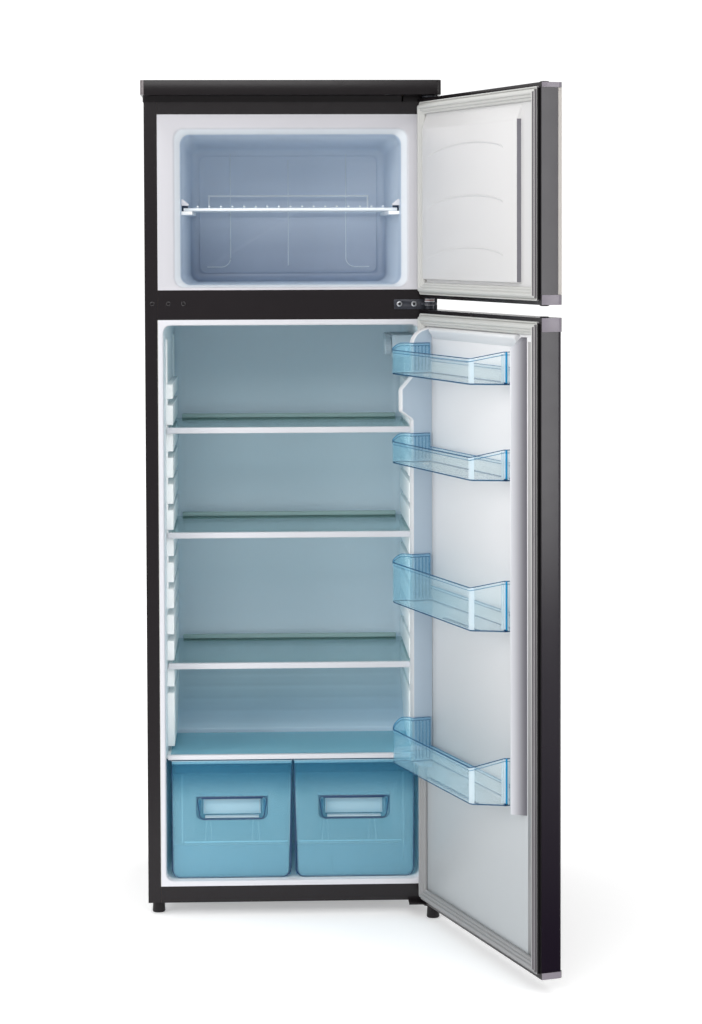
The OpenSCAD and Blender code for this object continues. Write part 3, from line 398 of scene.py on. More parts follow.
def round_rect(x0, x1, y0, y1, r, steps=6):
    """Outline of a rounded rectangle, anticlockwise."""
    points = []
    corners = ((x1 - r, y0 + r, -90), (x1 - r, y1 - r, 0), (x0 + r, y1 - r, 90), (x0 + r, y0 + r, 180))
    for cx, cy, start in corners:
        for k in range(steps + 1):
            a = math.radians(start + 90 * k / steps)
            points.append((cx + r * math.cos(a), cy + r * math.sin(a)))
    return points


def rect_ring(x0, x1, z0, z1, r, y, steps=5):
    """Rounded rectangle that stands upright, across the front, at a depth y."""
    return [(x, y, z) for x, z in round_rect(x0, x1, z0, z1, r, steps)]


def rounded_path(corners, steps=5):
    """Closed outline through corners (x, y, radius), with each corner rounded."""
    points = []
    count = len(corners)
    for i in range(count):
        x, y, r = corners[i]
        here = Vector((x, y))
        before = (Vector(corners[i - 1][:2]) - here).normalized()
        after = (Vector(corners[(i + 1) % count][:2]) - here).normalized()
        half = before.angle(after) / 2
        reach = r / math.tan(half)
        start = here + before * reach
        end = here + after * reach
        for k in range(steps + 1):
            t = k / steps
            points.append(start * (1 - t) ** 2 + here * (2 * t * (1 - t)) + end * t ** 2)
    return points


def inset(points, distance):
    """A closed anticlockwise outline moved inwards."""
    moved = []
    count = len(points)
    for i in range(count):
        a, b, c = points[i - 1], points[i], points[(i + 1) % count]
        first = (b - a).normalized()
        second = (c - b).normalized()
        normal = Vector((-first.y - second.y, first.x + second.x))
        normal.normalize()
        stretch = max(0.5, normal.dot(Vector((-first.y, first.x))))
        moved.append(b + normal * distance / stretch)
    return moved


def bevel_all(bm, edges, width, segments=2):
    bmesh.ops.bevel(bm, geom=edges, offset=width, segments=segments, profile=0.5,
                    affect="EDGES", clamp_overlap=True)


def add_block(bm, lo, hi, width=0.8, segments=2, index=0):
    """Box with rounded edges."""
    part = bmesh.new()
    bmesh.ops.create_cube(part, size=1)
    size = Vector(hi) - Vector(lo)
    centre = (Vector(hi) + Vector(lo)) / 2
    bmesh.ops.scale(part, vec=size, verts=part.verts)
    bmesh.ops.translate(part, vec=centre, verts=part.verts)
    if width:
        bevel_all(part, part.edges[:], min(width, min(size) * 0.45), segments)
    merge(bm, part, index)


def merge(bm, part, index=0):
    """Adds part to bm and frees it."""
    seen = {}
    for v in part.verts:
        seen[v] = bm.verts.new(v.co)
    for f in part.faces:
        bm.faces.new([seen[v] for v in f.verts]).material_index = index
    part.free()


AXES = {"x": (1, 2, 0), "y": (0, 2, 1), "z": (0, 1, 2)}


def place(axis, a, b, height):
    point = [0, 0, 0]
    i, j, k = AXES[axis]
    point[i], point[j], point[k] = a, b, height
    return Vector(point)


def add_prism(bm, outline, axis, start, end, width=0.0, segments=2, index=0):
    """Outline pushed along an axis, its sharp edges rounded."""
    part = bmesh.new()
    add_solid(part, [[place(axis, a, b, h) for a, b in outline] for h in (start, end)])
    bmesh.ops.recalc_face_normals(part, faces=part.faces)
    if width:
        sharp = [e for e in part.edges if e.calc_face_angle(0) > math.radians(24)]
        bevel_all(part, sharp, width, segments)
    merge(bm, part, index)


def add_tube(bm, points, radius, sides=10, index=0, closed=False):
    """Round bar along a line of points."""
    points = [Vector(p) for p in points]
    rings = []
    count = len(points)
    for i, p in enumerate(points):
        before = points[i - 1] if (i or closed) else p
        after = points[(i + 1) % count] if (i + 1 < count or closed) else p
        ahead = (after - before).normalized()
        side = ahead.cross(Vector((0, 0, 1)))
        if side.length < 0.1:
            side = ahead.cross(Vector((1, 0, 0)))
        side.normalize()
        up = side.cross(ahead)
        turn = [2 * math.pi * k / sides for k in range(sides)]
        rings.append([p + side * radius * math.cos(t) + up * radius * math.sin(t) for t in turn])
    if closed:
        loft(bm, rings, wrap=True, index=index)
    else:
        add_solid(bm, rings, index)


def add_lathe(bm, centre, profile, sides=32, index=0):
    """Profile of (radius, z) turned about an upright axis."""
    rings = []
    turn = [2 * math.pi * k / sides for k in range(sides)]
    for r, z in profile:
        rings.append([(centre[0] + r * math.cos(t), centre[1] + r * math.sin(t), z) for t in turn])
    add_solid(bm, rings, index)


def add_frame(bm, box, profile, radius=3.0, index=0):
    """Profile of (inset, y) swept round the rectangle box = (x0, x1, z0, z1)."""
    x0, x1, z0, z1 = box
    rings = []
    for u, y in profile:
        r = max(0.6, radius - u * 0.15)
        rings.append(rect_ring(x0 + u, x1 - u, z0 + u, z1 - u, r, y, 3))
    loft(bm, rings, wrap=True, index=index)


def refined(node, width, segments=2, sharp=24):
    """Copy of a CAD node's mesh in mm, its flat faces whole and its sharp edges rounded."""
    bm = bmesh.new()
    bm.from_mesh(NODES[node].data)
    bmesh.ops.scale(bm, vec=(1000, 1000, 1000), verts=bm.verts)
    bmesh.ops.remove_doubles(bm, verts=bm.verts, dist=0.01)
    bmesh.ops.dissolve_limit(bm, angle_limit=math.radians(0.8), verts=bm.verts, edges=bm.edges)
    if width:
        edges = [e for e in bm.edges if e.calc_face_angle(0) > math.radians(sharp)]
        bevel_all(bm, edges, width, segments)
    return bm


def finish_mesh(bm, name, materials, matrix=None, sharp=32):
    """Object of a mesh made in mm, shaded smooth up to the angle sharp."""
    bmesh.ops.recalc_face_normals(bm, faces=bm.faces)
    bmesh.ops.scale(bm, vec=(MM, MM, MM), verts=bm.verts)
    if matrix is not None:
        bm.transform(matrix)
    mesh = bpy.data.meshes.new(name)
    bm.to_mesh(mesh)
    bm.free()
    mesh.shade_smooth()
    mesh.set_sharp_from_angle(angle=math.radians(sharp))
    obj = bpy.data.objects.new(name, mesh)
    bpy.context.scene.collection.objects.link(obj)
    for material in materials:
        mesh.materials.append(material)
    return obj


def piece(bm, name, node, materials, stands_for=True, matrix=None, sharp=32):
    """Makes the mesh a piece that rides with a CAD node, and stands for it where asked."""
    obj = finish_mesh(bm, name, materials, matrix, sharp)
    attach(obj, home(node))
    if stands_for:
        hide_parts(node)
    return obj


def thicken(obj, amount):
    """Gives a moulded shell its wall, away from the side that is seen."""
    solid = obj.modifiers.new("wall", "SOLIDIFY")
    solid.thickness = amount * MM
    solid.offset = -1
    solid.use_even_offset = True


# ---------- sizes of the moulded spaces, in mm ----------

WALL = 1.4
FREEZER_HALF, FREEZER_NECK = 225.8, 32
SIDE_DRAFT, CEILING_DRAFT, REAR_ROUND = 11, 12.5, 16
FRIDGE_HALF, FRIDGE_DEPTH, HUMP_DEPTH = 263, 478, 290
SLOPE_FOOT, SLOPE_TOP, EDGE_ROUND = 262.5, 367.5, 15
WALL_DRAFT = 8 / FRIDGE_DEPTH
FREE_SIDE = -490


# ---------- freezer space ----------

def freezer_ring(half, z0, z1, r, y):
    return rect_ring(-half, half, z0, z1, r, y, 6)


def make_freezer_liner():
    """Mouth frame, flared lip, walls with draft, rounded rear edges and an embossed back."""
    lo, hi = box_mm("freezer_liner")
    low, high = lo.z + 5, hi.z - 28.5
    floor, ceiling, back = lo.z + 10.5, high - 12.7, hi.y - 1.5
    steps = [(hi.x, lo.z, hi.z, 1, 1.4), (hi.x, lo.z, hi.z, 1, 0.05),
             (243, low - 1.5, high + 2.5, 23, 0.0), (240.8, low - 0.4, high + 0.6, 21, 0.9),
             (239, low + 0.6, high - 1, 20, 3.2), (228.2, floor - 0.5, high - 11, 20, 19.5),
             (226.6, floor, high - 12.3, 20, 24), (FREEZER_HALF, floor, ceiling, 20, FREEZER_NECK)]
    straight = back - REAR_ROUND - FREEZER_NECK
    for k in range(1, 7):
        share = k / 6
        steps.append((FREEZER_HALF - SIDE_DRAFT * share, floor, ceiling - CEILING_DRAFT * share, 20,
                      FREEZER_NECK + straight * share))
    half, top = FREEZER_HALF - SIDE_DRAFT, ceiling - CEILING_DRAFT
    for k in range(1, 6):
        a = math.radians(18 * k)
        d = REAR_ROUND * (1 - math.cos(a))
        y = back - REAR_ROUND + REAR_ROUND * math.sin(a)
        steps.append((half - d, floor + d, top - d, max(6, 20 - d), y))
    # the embossed field of the back wall
    for d, y in ((17, back), (18.2, back - 1.1), (19.4, back - 1.5), (20.6, back - 1.1), (22, back)):
        steps.append((half - d, floor + d, top - d, 14, y))
    bm = bmesh.new()
    rows = loft(bm, [freezer_ring(*step) for step in steps])
    bm.faces.new(rows[-1])
    obj = piece(bm, "freezer_liner_shell", "freezer_liner", [FREEZER_SPACE_LIGHT_AND_SHADE], sharp=50)
    flip_towards(obj, Vector((0, -1, 0)))
    thicken(obj, WALL)


def flip_towards(obj, direction):
    """Turns the normals so that the largest flat part of a shell looks along direction."""
    total = sum((p.normal.dot(direction)) * p.area for p in obj.data.polygons)
    if total < 0:
        obj.data.flip_normals()


def make_freezer_back_lines():
    """Embossed channels of the back wall: two with curved feet and a straight one between them, in a lighter
    colour that is a painted highlight.
    """
    lo, hi = box_mm("freezer_liner")
    back = hi.y - 1.5
    bm = bmesh.new()
    for side in (-1, 1):
        x = side * 128
        points = [(x, back - 0.1, hi.z - 66), (x, back - 0.1, lo.z + 62)]
        for k in range(1, 7):
            a = math.radians(15 * k)
            points.append((x + side * 20 * (1 - math.cos(a)), back - 0.1, lo.z + 62 - 20 * math.sin(a)))
        points.append((x + side * 52, back - 0.1, lo.z + 42))
        add_tube(bm, points, 1.2, 8)
    add_tube(bm, [(0, back - 0.1, hi.z - 80), (0, back - 0.1, lo.z + 45)], 1.1, 8)
    piece(bm, "freezer_back_channels", "freezer_liner", [FREEZER_CHANNEL_HIGHLIGHT], stands_for=False)


# ---------- fridge space ----------

def fridge_plan(depth, z, inset_by, corner=27.0):
    """U-shaped plan of the fridge space, from the left front edge round to the right one."""
    front = FRIDGE_HALF - inset_by
    turn = depth - inset_by - corner
    side = front - turn * WALL_DRAFT
    left = []
    for k in range(9):
        y = 3 + (turn - 3) * k / 8
        left.append((-(front - y * WALL_DRAFT), y, z))
    for k in range(1, 7):
        a = math.radians(15 * k)
        left.append((-side + corner * (1 - math.cos(a)), turn + corner * math.sin(a), z))
    right = [(-x, y, zz) for x, y, zz in reversed(left)]
    return left + right


def slope_depth(height):
    """Depth of the fridge space on the slope over the hump, at a height above its floor."""
    share = (height - SLOPE_FOOT) / (SLOPE_TOP - SLOPE_FOOT)
    return HUMP_DEPTH + (FRIDGE_DEPTH - HUMP_DEPTH) * share


def fridge_levels(low, high):
    """Steps of the fridge space from floor to ceiling, each (z, inset, depth)."""
    levels = []
    for k in range(5):
        a = math.radians(90 - 22.5 * k)
        levels.append((low + EDGE_ROUND * (1 - math.sin(a)), EDGE_ROUND * (1 - math.cos(a)), HUMP_DEPTH))
    levels += [(low + up, 0, HUMP_DEPTH) for up in (60, 130, 200, 250, 260.5)]
    levels += [(low + up, 0, HUMP_DEPTH + more) for up, more in ((261.8, 0.5), (263, 1.8), (265, 4.8))]
    for k in range(1, 40):
        share = k / 40
        height = 265 + (SLOPE_TOP - 265) * share
        ridge = 2.2 * max(0.0, math.sin(share * 5 * 2 * math.pi)) ** 2
        levels.append((low + height, 0, slope_depth(height) - ridge))
    levels += [(low + 369, 0, FRIDGE_DEPTH - 1.5), (low + 374, 0, FRIDGE_DEPTH)]
    for k in range(1, 17):
        levels.append((low + 374 + (high - EDGE_ROUND - low - 374) * k / 16, 0, FRIDGE_DEPTH))
    for k in range(1, 5):
        a = math.radians(22.5 * k)
        levels.append((high - EDGE_ROUND * (1 - math.sin(a)), EDGE_ROUND * (1 - math.cos(a)), FRIDGE_DEPTH))
    return levels


def make_fridge_liner():
    """Floor, hump over the compressor, ridged slope, back, ceiling and the mouth frame."""
    lo, hi = box_mm("fridge_liner")
    bm = bmesh.new()
    rings = [fridge_plan(depth, z, d) for z, d, depth in fridge_levels(lo.z + 10.5, hi.z - 11.5)]
    rows = loft(bm, rings, closed=False)
    for row in (rows[0], rows[-1]):
        count = len(row)
        for i in range(count // 2 - 1):
            bm.faces.new((row[i], row[i + 1], row[count - 2 - i], row[count - 1 - i]))
    mouth = [row[0] for row in rows] + [row[-1] for row in reversed(rows)]
    frame_mouth(bm, mouth, (-hi.x, hi.x, lo.z, hi.z))
    obj = piece(bm, "fridge_liner_shell", "fridge_liner", [FRIDGE_SPACE_LIGHT_AND_SHADE], sharp=50)
    flip_towards(obj, Vector((0, -1, 0)))
    thicken(obj, WALL)


def frame_mouth(bm, mouth, outer):
    """Rolls the mouth edge over to the flat frame around it."""
    x0, x1, z0, z1 = outer
    middle = Vector(((x0 + x1) / 2, 0, (z0 + z1) / 2))
    previous = mouth
    for grow, y in ((0.9, 0.9), (3, 0.05)):
        row = []
        for v in mouth:
            out = Vector((v.co.x - middle.x, 0, v.co.z - middle.z))
            side = Vector((math.copysign(1, out.x), 0, 0))
            if abs(out.z) > (z1 - z0) / 2 - 26:
                side = Vector((math.copysign(0.5, out.x) if abs(out.x) > 240 else 0, 0,
                               math.copysign(0.87, out.z)))
            row.append(bm.verts.new(Vector((v.co.x, y, v.co.z)) + side * grow))
        link_rows(bm, previous, row)
        previous = row
    for y in (0.05, 1.4):
        row = []
        for v in mouth:
            x = math.copysign(x1, v.co.x)
            z = v.co.z
            if v is mouth[0] or v is mouth[-1]:
                z = z0
            elif z < z0 + 30:
                z = z0 + (z - z0 - 10.5) * 0.5
            elif z > z1 - 30:
                z = z1 - (z1 - z - 11.5) * 0.5
            row.append(bm.verts.new((x, y, z)))
        link_rows(bm, previous, row)
        previous = row


def link_rows(bm, a, b):
    count = len(a)
    for i in range(count):
        j = (i + 1) % count
        bm.faces.new((a[i], a[j], b[j], b[i]))


def make_wall_bands():
    """Upright raised bands on both fridge walls, behind the ribs and up to near the ceiling."""
    lo, hi = box_mm("fridge_liner")
    bm = bmesh.new()
    for side in (-1, 1):
        for y0, y1 in ((104, 150), (388, 434)):
            x = side * (FRIDGE_HALF - (y0 + y1) / 2 * WALL_DRAFT)
            add_block(bm, (x - 2.6, y0, lo.z + 560), (x + 2.6, y1, hi.z - 44), 2.4, 3)
    piece(bm, "fridge_wall_bands", "fridge_liner", [RIB_PAINTED_SHADE], stands_for=False)


# ---------- doors ----------

GASKET_PROFILE = (
    (0, 14), (0, 18.4), (0.6, 19.3), (1.6, 19.5), (2.5, 18.9), (2.9, 16.8), (3.6, 16.4), (4.1, 17.4),
    (4.5, 20.8), (5.2, 22.6), (6.4, 23.2), (7.2, 25.2), (8.2, 26.2), (12.0, 26.3), (13.2, 25.6),
    (13.7, 23.4), (14.3, 22.6), (15.0, 23.0), (15.6, 23.4), (18.4, 23.2), (19.2, 22.2), (19.6, 20.2),
    (20.2, 19.5), (21.0, 19.9), (23.4, 19.6), (24.5, 18.4), (25, 16.4), (25, 14),
)


def make_gasket(node, matrix):
    """Magnetic seal with its bellows, as one strip with mitred corners, in painted shade: darker lower down,
    and dark on its groove and outer side at the free side.
    """
    lo, hi = box_mm(node, matrix)
    bm = bmesh.new()
    add_frame(bm, (lo.x, hi.x, lo.z, hi.z), GASKET_PROFILE, 5.0)
    bmesh.ops.recalc_face_normals(bm, faces=bm.faces)
    # Painted shade on the free side: the groove and the seal's outer side get dark finishes.
    for face in bm.faces:
        centre = face.calc_center_median()
        if centre.x < lo.x + 8 and face.normal.x < -0.5:
            face.material_index = 2 if centre.x < lo.x + 1.5 else 1
    piece(bm, node + "_bellows", node, [SEAL, SEAL_GROOVE_SHADE, BLACK_EDGE_AND_SEAL_SHADE], matrix=matrix, sharp=60)
    make_edge_strip(node, matrix)


def make_edge_strip(node, matrix):
    """Black strip on the folded edge of the door sheet, outside the seal on the free side.
    The freezer door also has a painted highlight, a bright band along its front edge."""
    seal_x = box_mm(node, matrix)[0].x
    skin = node.replace("gasket", "skin")
    lo, hi = box_mm(skin, matrix)
    bm = bmesh.new()
    add_block(bm, (lo.x + 0.6, hi.y - 0.3, lo.z), (seal_x - 0.3, hi.y + 0.35, hi.z), 0.2)
    # Bright band on the freezer door's front edge: a painted highlight.
    if node.startswith("freezer"):
        add_block(bm, (lo.x - 0.12, lo.y + 1.2, lo.z + 0.5), (lo.x + 0.4, lo.y + 8.2, hi.z - 0.5),
                  0.05, 1, 1)
    piece(bm, skin + "_strip", skin, [BLACK_EDGE_AND_SEAL_SHADE, SHEET_EDGE_HIGHLIGHT], stands_for=False, matrix=matrix)


def plate_rings(x0, x1, z0, z1, steps):
    """Rectangles with rounded corners, one for each (inset, y, radius)."""
    return [rect_ring(x0 + d, x1 - d, z0 + d, z1 - d, r, y) for d, y, r in steps]


def make_freezer_door_liner():
    """Flat border under the seal, and the raised panel with its three arcs and painted shade on its free
    side.
    """
    lo, hi = box_mm("freezer_door_liner", FREEZER_DOOR)
    seal_lo, seal_hi = box_mm("freezer_door_gasket", FREEZER_DOOR)
    bm = bmesh.new()
    rings = plate_rings(lo.x, hi.x, lo.z, hi.z, ((0, lo.y, 1), (0, lo.y + 1.4, 1)))
    x0, x1, z0, z1 = FREE_SIDE, seal_hi.x - 25.5, seal_lo.z + 31, seal_hi.z - 52.5
    for d, y, r, up in ((-0.5, lo.y + 1.45, 2, 24), (0, lo.y + 3, 2, 20), (0.6, hi.y - 3, 2.5, 3),
                        (1.2, hi.y - 1, 3, -2), (3, hi.y, 3, -4)):
        rings.append(rect_ring(x0 + d, x1 - d, z0 + d, z1 + up, r, y))
    rows = loft(bm, rings)
    bm.faces.new(rows[-1])
    # Dark bar on the raised panel's free side wall: painted shade.
    add_block(bm, (x0 - 0.35, lo.y + 1.7, z0 + 2), (x0 + 1.0, hi.y - 1.2, z1 - 3), 0.2, 1, 1)
    for z in (z1 - 44, z1 - 147, z1 - 248):
        add_arc(bm, -48, -426, z - 18, 19, hi.y)
    piece(bm, "freezer_door_panel", "freezer_door_liner", [PANEL_DOOR, PANEL_SIDE_SHADE],
          matrix=FREEZER_DOOR, sharp=40)


def add_arc(bm, x0, x1, z, rise, y):
    """Shallow embossed arc, bulging upwards, that fades at its ends."""
    rings = []
    count = 28
    for k in range(count + 1):
        t = k / count
        x = x0 + (x1 - x0) * t
        height = z + 9 * t + rise * math.sin(math.pi * t) ** 0.62
        size = 0.6 + 0.4 * math.sin(math.pi * t) ** 0.5
        rings.append([(x, y - 0.4, height - 4.5 * size), (x, y + 0.9 * size, height - 1.4 * size),
                      (x, y + 1.4 * size, height), (x, y + 1.0 * size, height + 0.9 * size),
                      (x, y - 0.4, height + 1.2 * size)])
    add_solid(bm, rings)


def make_fridge_door_liner():
    """Flat liner with a ridge along its top and a border strip in painted shade, and the two dikes for the
    bins, with painted shade on their sides.
    """
    lo, hi = box_mm("fridge_door_liner", FRIDGE_DOOR)
    seal_lo, seal_hi = box_mm("fridge_door_gasket", FRIDGE_DOOR)
    face = lo.y + 1.5
    bm = bmesh.new()
    add_solid(bm, plate_rings(lo.x, hi.x, lo.z, hi.z, (
        (0, lo.y, 1), (0, face - 0.3, 1), (0.3, face, 1))))
    top = seal_hi.z - 25.6
    dike = [(face - 1, 318), (40, 322), (50, 328), (56, 340), (56, 1032), (80, 1049), (80, 1094),
            (56, 1120), (56, 1186), (53, 1196), (46, 1206), (36, 1213), (face - 1, top)]
    add_prism(bm, dike, "x", -46, -26, 3.6, 4)
    # Face of the hinge-side dike towards the bins: painted shade.
    for face_made in bm.faces:
        face_made.normal_update()
        centre = face_made.calc_center_median()
        if abs(face_made.normal.x) > 0.9 and -47 < centre.x < -44 and centre.y > face + 1:
            face_made.material_index = 2
    free = [(-489.2, face - 1), (-489.9, 34), (-491, 36.8), (-493.5, 38), (-496.5, 37.8), (-498.6, 36),
            (-517.4, face + 0.8), (-519.2, face - 1)]
    add_solid(bm, [[(x, y, 321) for x, y in free], [(x, y, crest_height(y)) for x, y in free]])
    # Outer wall of the free-side dike: painted shade, darker towards its foot.
    for face_made in bm.faces:
        centre = face_made.calc_center_median()
        if centre.x < -495 and centre.y > face and centre.z > 330:
            face_made.material_index = 1
    ridge = [(face - 1, top), (20, top - 1), (25, top - 5), (24, top - 9), (face - 1, top - 26)]
    add_prism(bm, ridge, "x", -481.5, -53.5, 2.0, 3)
    # Grey strip of painted shade on the border by the seal.
    add_block(bm, (seal_lo.x + 24, face - 0.4, lo.z + 20), (-520.5, face + 0.25, hi.z - 20), 0.1, 1, 3)
    for edge_lo, edge_hi in lug_boxes():
        add_block(bm, edge_lo, edge_hi, 0.8)
    piece(bm, "fridge_door_panel", "fridge_door_liner", [DOOR_LINER_PAINTED_SHADE, DIKE_WALL_PAINTED_SHADE, DIKE_SIDE_SHADE, BORDER_SHADE],
          matrix=FRIDGE_DOOR, sharp=50)


def lug_boxes():
    """The small ledges under the ends of each bin."""
    found = []
    for k in range(1, 5):
        under = box_mm("bin_%d" % k, FRIDGE_DOOR)[0].z
        for x in (-49, FREE_SIDE):
            found.append(((x, 22, under - 5), (x + 3, 34, under - 0.5)))
    return found


# ---------- door bins ----------

# places in the material lists of the clear parts: shared, then a bin's own, then a drawer's own
BODY, EDGE, PAINTED_HIGHLIGHT = range(3)
SLIT, NAVY_RIM, FOOT_RIM, PLATE, LOOP, FIN = range(3, 9)
LINE, BAND, PANEL, LOW = range(3, 7)


def bin_corners(lo, hi):
    """Corners of a bin's plan, as (x, y, radius)."""
    return (
        (hi.x, hi.y, 26), (lo.x + 35, hi.y, 14), (lo.x + 3, 46, 8), (lo.x, 38, 3),
        (lo.x, lo.y, 4), (hi.x - 16.5, lo.y, 4), (hi.x - 16.5, 58.5, 1), (hi.x, 60.5, 14),
    )


def bin_heights(points, lo, hi, front, back):
    """Height of the rim above each point of the plan."""
    heights = []
    for p in points:
        if p.y < lo.y + 3:
            heights.append(back)
        elif p.x > hi.x - 17.5 and p.y < 61:
            heights.append(hi.z)
        elif p.x > hi.x - 26:
            share = min(1, (hi.y - p.y) / 24)
            heights.append(front + (hi.z - front) * share ** 0.8)
        elif p.x < lo.x + 40 and p.y < hi.y - 1:
            share = min(1, (hi.y - p.y) / (hi.y - 46))
            heights.append(front + (hi.z - front) * share)
        else:
            heights.append(front)
    return heights


# the wall's section: distance inwards, from which level, height over it, finish
BIN_PROFILE = (
    (4.0, "low", 0.0, BODY), (2.2, "low", 0.4, NAVY_RIM), (1.3, "low", 1.6, NAVY_RIM),
    (1.1, "low", 3.2, BODY), (1.1, "top", -7.0, NAVY_RIM), (0.2, "top", -6.2, EDGE),
    (0.0, "top", -5.2, BODY), (0.0, "top", -1.6, NAVY_RIM), (0.5, "top", -0.3, NAVY_RIM),
    (1.3, "top", 0.0, EDGE), (2.4, "top", 0.0, EDGE), (3.2, "top", -0.4, EDGE),
    (3.6, "top", -1.2, BODY), (3.6, "low", 6.0, BODY), (4.4, "low", 3.6, BODY), (7.0, "low", 2.4, EDGE),
)


def make_bin(number, front_drop):
    """Clear bin with a rolled rim, rounded corners, a finned end plate, slits in its floor, and painted
    highlights on its walls at the corner and the free end.
    """
    node = "bin_%d" % number
    lo, hi = box_mm(node, FRIDGE_DOOR)
    plan = rounded_path(bin_corners(lo, hi), 8)
    area = sum(a.x * b.y - b.x * a.y for a, b in zip(plan, plan[1:] + plan[:1]))
    if area < 0:
        plan = list(reversed(plan))
    tops = bin_heights(plan, lo, hi, hi.z - front_drop, lo.z + 32)
    bm = bmesh.new()
    rings = []
    for d, level, up, _ in BIN_PROFILE:
        moved = inset(plan, d)
        base = [lo.z if level == "low" else t for t in tops]
        rings.append([(p.x, p.y, z + up) for p, z in zip(moved, base)])
    rows = loft(bm, rings)
    for face, (_, level, _, index) in zip_rings(rows, BIN_PROFILE, bm):
        centre = face.calc_center_median()
        corner = abs(centre.x - lo.x - 34) < 9 and centre.y > hi.y - 14
        end = centre.x < lo.x + 11 and centre.y > 36
        wall = index == BODY and abs(centre.z - (lo.z + hi.z) / 2) < (hi.z - lo.z) * 0.4
        plate = centre.x > hi.x - 22 and centre.y < 60
        # Painted highlights on the walls at the rounded corner and at the free end.
        face.material_index = PAINTED_HIGHLIGHT if wall and (corner or end) else index
        if index == BODY and plate:
            face.material_index = PLATE
        elif wall and centre.x > hi.x - 22:
            face.material_index = LOOP
    bm.faces.new(list(reversed(rows[0])))
    bm.faces.new(rows[-1])
    plate = hi.x - 20.2
    for k in range(5):
        y = 22 + k * 7.5
        add_block(bm, (plate - 1.4, y - 1.1, lo.z + 8), (plate + 0.6, y + 1.1, hi.z - 7), 0.6, 2, FIN)
    # Bright upright strip near the free end: a painted highlight.
    add_block(bm, (lo.x + 7, 44.5, lo.z + 5), (lo.x + 15, 47, hi.z - 5), 1.0, 3, PAINTED_HIGHLIGHT)
    add_block(bm, (lo.x + 0.2, 40, lo.z + 4), (lo.x + 2.6, 43.5, hi.z - 1), 0.9, 3, FOOT_RIM)
    add_block(bm, (lo.x + 0.6, 39, lo.z + 0.5), (lo.x + 5.0, 46, lo.z + 5.5), 1.2, 3, NAVY_RIM)
    add_slits(bm, number, lo, hi)
    walls = BIN_CLEAR if number < 3 else BIN_DEEP
    materials = [walls, BLUE_EDGE, BLUE_PAINTED_HIGHLIGHT, DARK_SLIT, NAVY, TURQUOISE, BLUE_PLATE, BLUE_LOOP, BLUE_FIN]
    piece(bm, node + "_clear", node, materials, matrix=FRIDGE_DOOR, sharp=42)


def zip_rings(rows, profile, bm):
    """Each face between two rings, with the profile step that it starts from."""
    bm.faces.ensure_lookup_table()
    count = len(rows[0])
    made = []
    for k in range(len(rows) - 1):
        for i in range(count):
            made.append((bm.faces[k * count + i], profile[k]))
    return made


def add_slits(bm, number, lo, hi):
    """Slanted drain slits along the floor of the two lower bins, as dark prisms of painted shade."""
    count = {3: 10, 4: 15}.get(number, 0)
    for k in range(count):
        x = hi.x - 424 + k * 17
        outline = [(x, 83), (x + 8, 83), (x + 10, 90), (x + 2, 90)]
        add_prism(bm, outline, "z", lo.z + 2.2, lo.z + 3.2, index=SLIT)


# ---------- drawers ----------

def make_drawer(node):
    """Clear drawer: rolled lip with a painted highlight, bands and painted highlight lines of the front,
    grip pocket, ribs inside in painted highlight.
    """
    lo, hi = box_mm(node)
    bm = refined(node, 0.9, 3)
    for face in bm.faces:
        centre = face.calc_center_median()
        n = face.normal
        # Painted highlight along the top of the lip.
        if centre.z > hi.z - 1.2:
            face.material_index = PAINTED_HIGHLIGHT
        elif centre.y < lo.y + 1.0 and abs(n.y) < 0.97:
            face.material_index = LINE if centre.z < hi.z - 9 else EDGE
    cx, front, low, top = (lo.x + hi.x) / 2, lo.y, lo.z, hi.z
    left, right = (lo.x + 27, hi.x - 10) if lo.x < -hi.x else (lo.x + 10, hi.x - 27)
    for x0, x1, y0, y1, z0, z1, edge, index in (
            (lo.x + 1.4, hi.x - 2.2, 2.2, 4.6, top - 10, top - 8, 0.8, LINE),
            (lo.x + 4, hi.x - 4, 3.0, 4.0, low + 4, low + 68, 0.4, LOW),
            (left, right, 3.0, 4.4, low + 73, low + 75.4, 0.4, PANEL),
            (left - 6, left - 4.4, 3.0, 4.0, low + 75, top - 28, 0.4, PAINTED_HIGHLIGHT),
            (right + 3, right + 4.4, 3.0, 4.0, low + 30, top - 28, 0.4, PAINTED_HIGHLIGHT),
            (lo.x + 4, hi.x - 4, 3.2, 4.4, top - 27, top - 8.4, 0.4, BAND),
            (cx - 45.2, cx - 42.8, 40, hi.y - front - 40, low + 2.2, low + 5.2, 0.9, BODY),
            (cx + 42.8, cx + 45.2, 40, hi.y - front - 40, low + 2.2, low + 5.2, 0.9, BODY),
            (cx - 9, cx + 9, 60, 63, low + 2.2, low + 4.2, 0.8, EDGE)):
        add_block(bm, (x0, front + y0, z0), (x1, front + y1, z1), edge, 2, index)
    add_block(bm, (lo.x + 1.0, front, top - 6.6), (hi.x - 1.2, front + 2.6, top - 0.4), 1.0, 3, PANEL)
    add_block(bm, (lo.x + 20, hi.y - 5.5, low + 10), (hi.x - 20, hi.y - 3.0, low + 12.5), 0.8, 2, PAINTED_HIGHLIGHT)
    add_grip(bm, cx, front)
    add_front_line(bm, lo, hi)
    for x, lean in ((cx - 62, 5), (cx - 46, -3), (cx + 40, 3), (cx + 58, -5)):
        add_tube(bm, [(x, hi.y - 5, low + 8), (x + lean, hi.y - 5, low + 66)], 0.9, 6, PAINTED_HIGHLIGHT)
    materials = [M["clear_blue_plastic"], BLUE_EDGE, BLUE_PAINTED_HIGHLIGHT, NAVY_LINE, BAND_BLUE, GRIP_BLUE, LOW_BLUE]
    piece(bm, node + "_clear", node, materials, sharp=42)


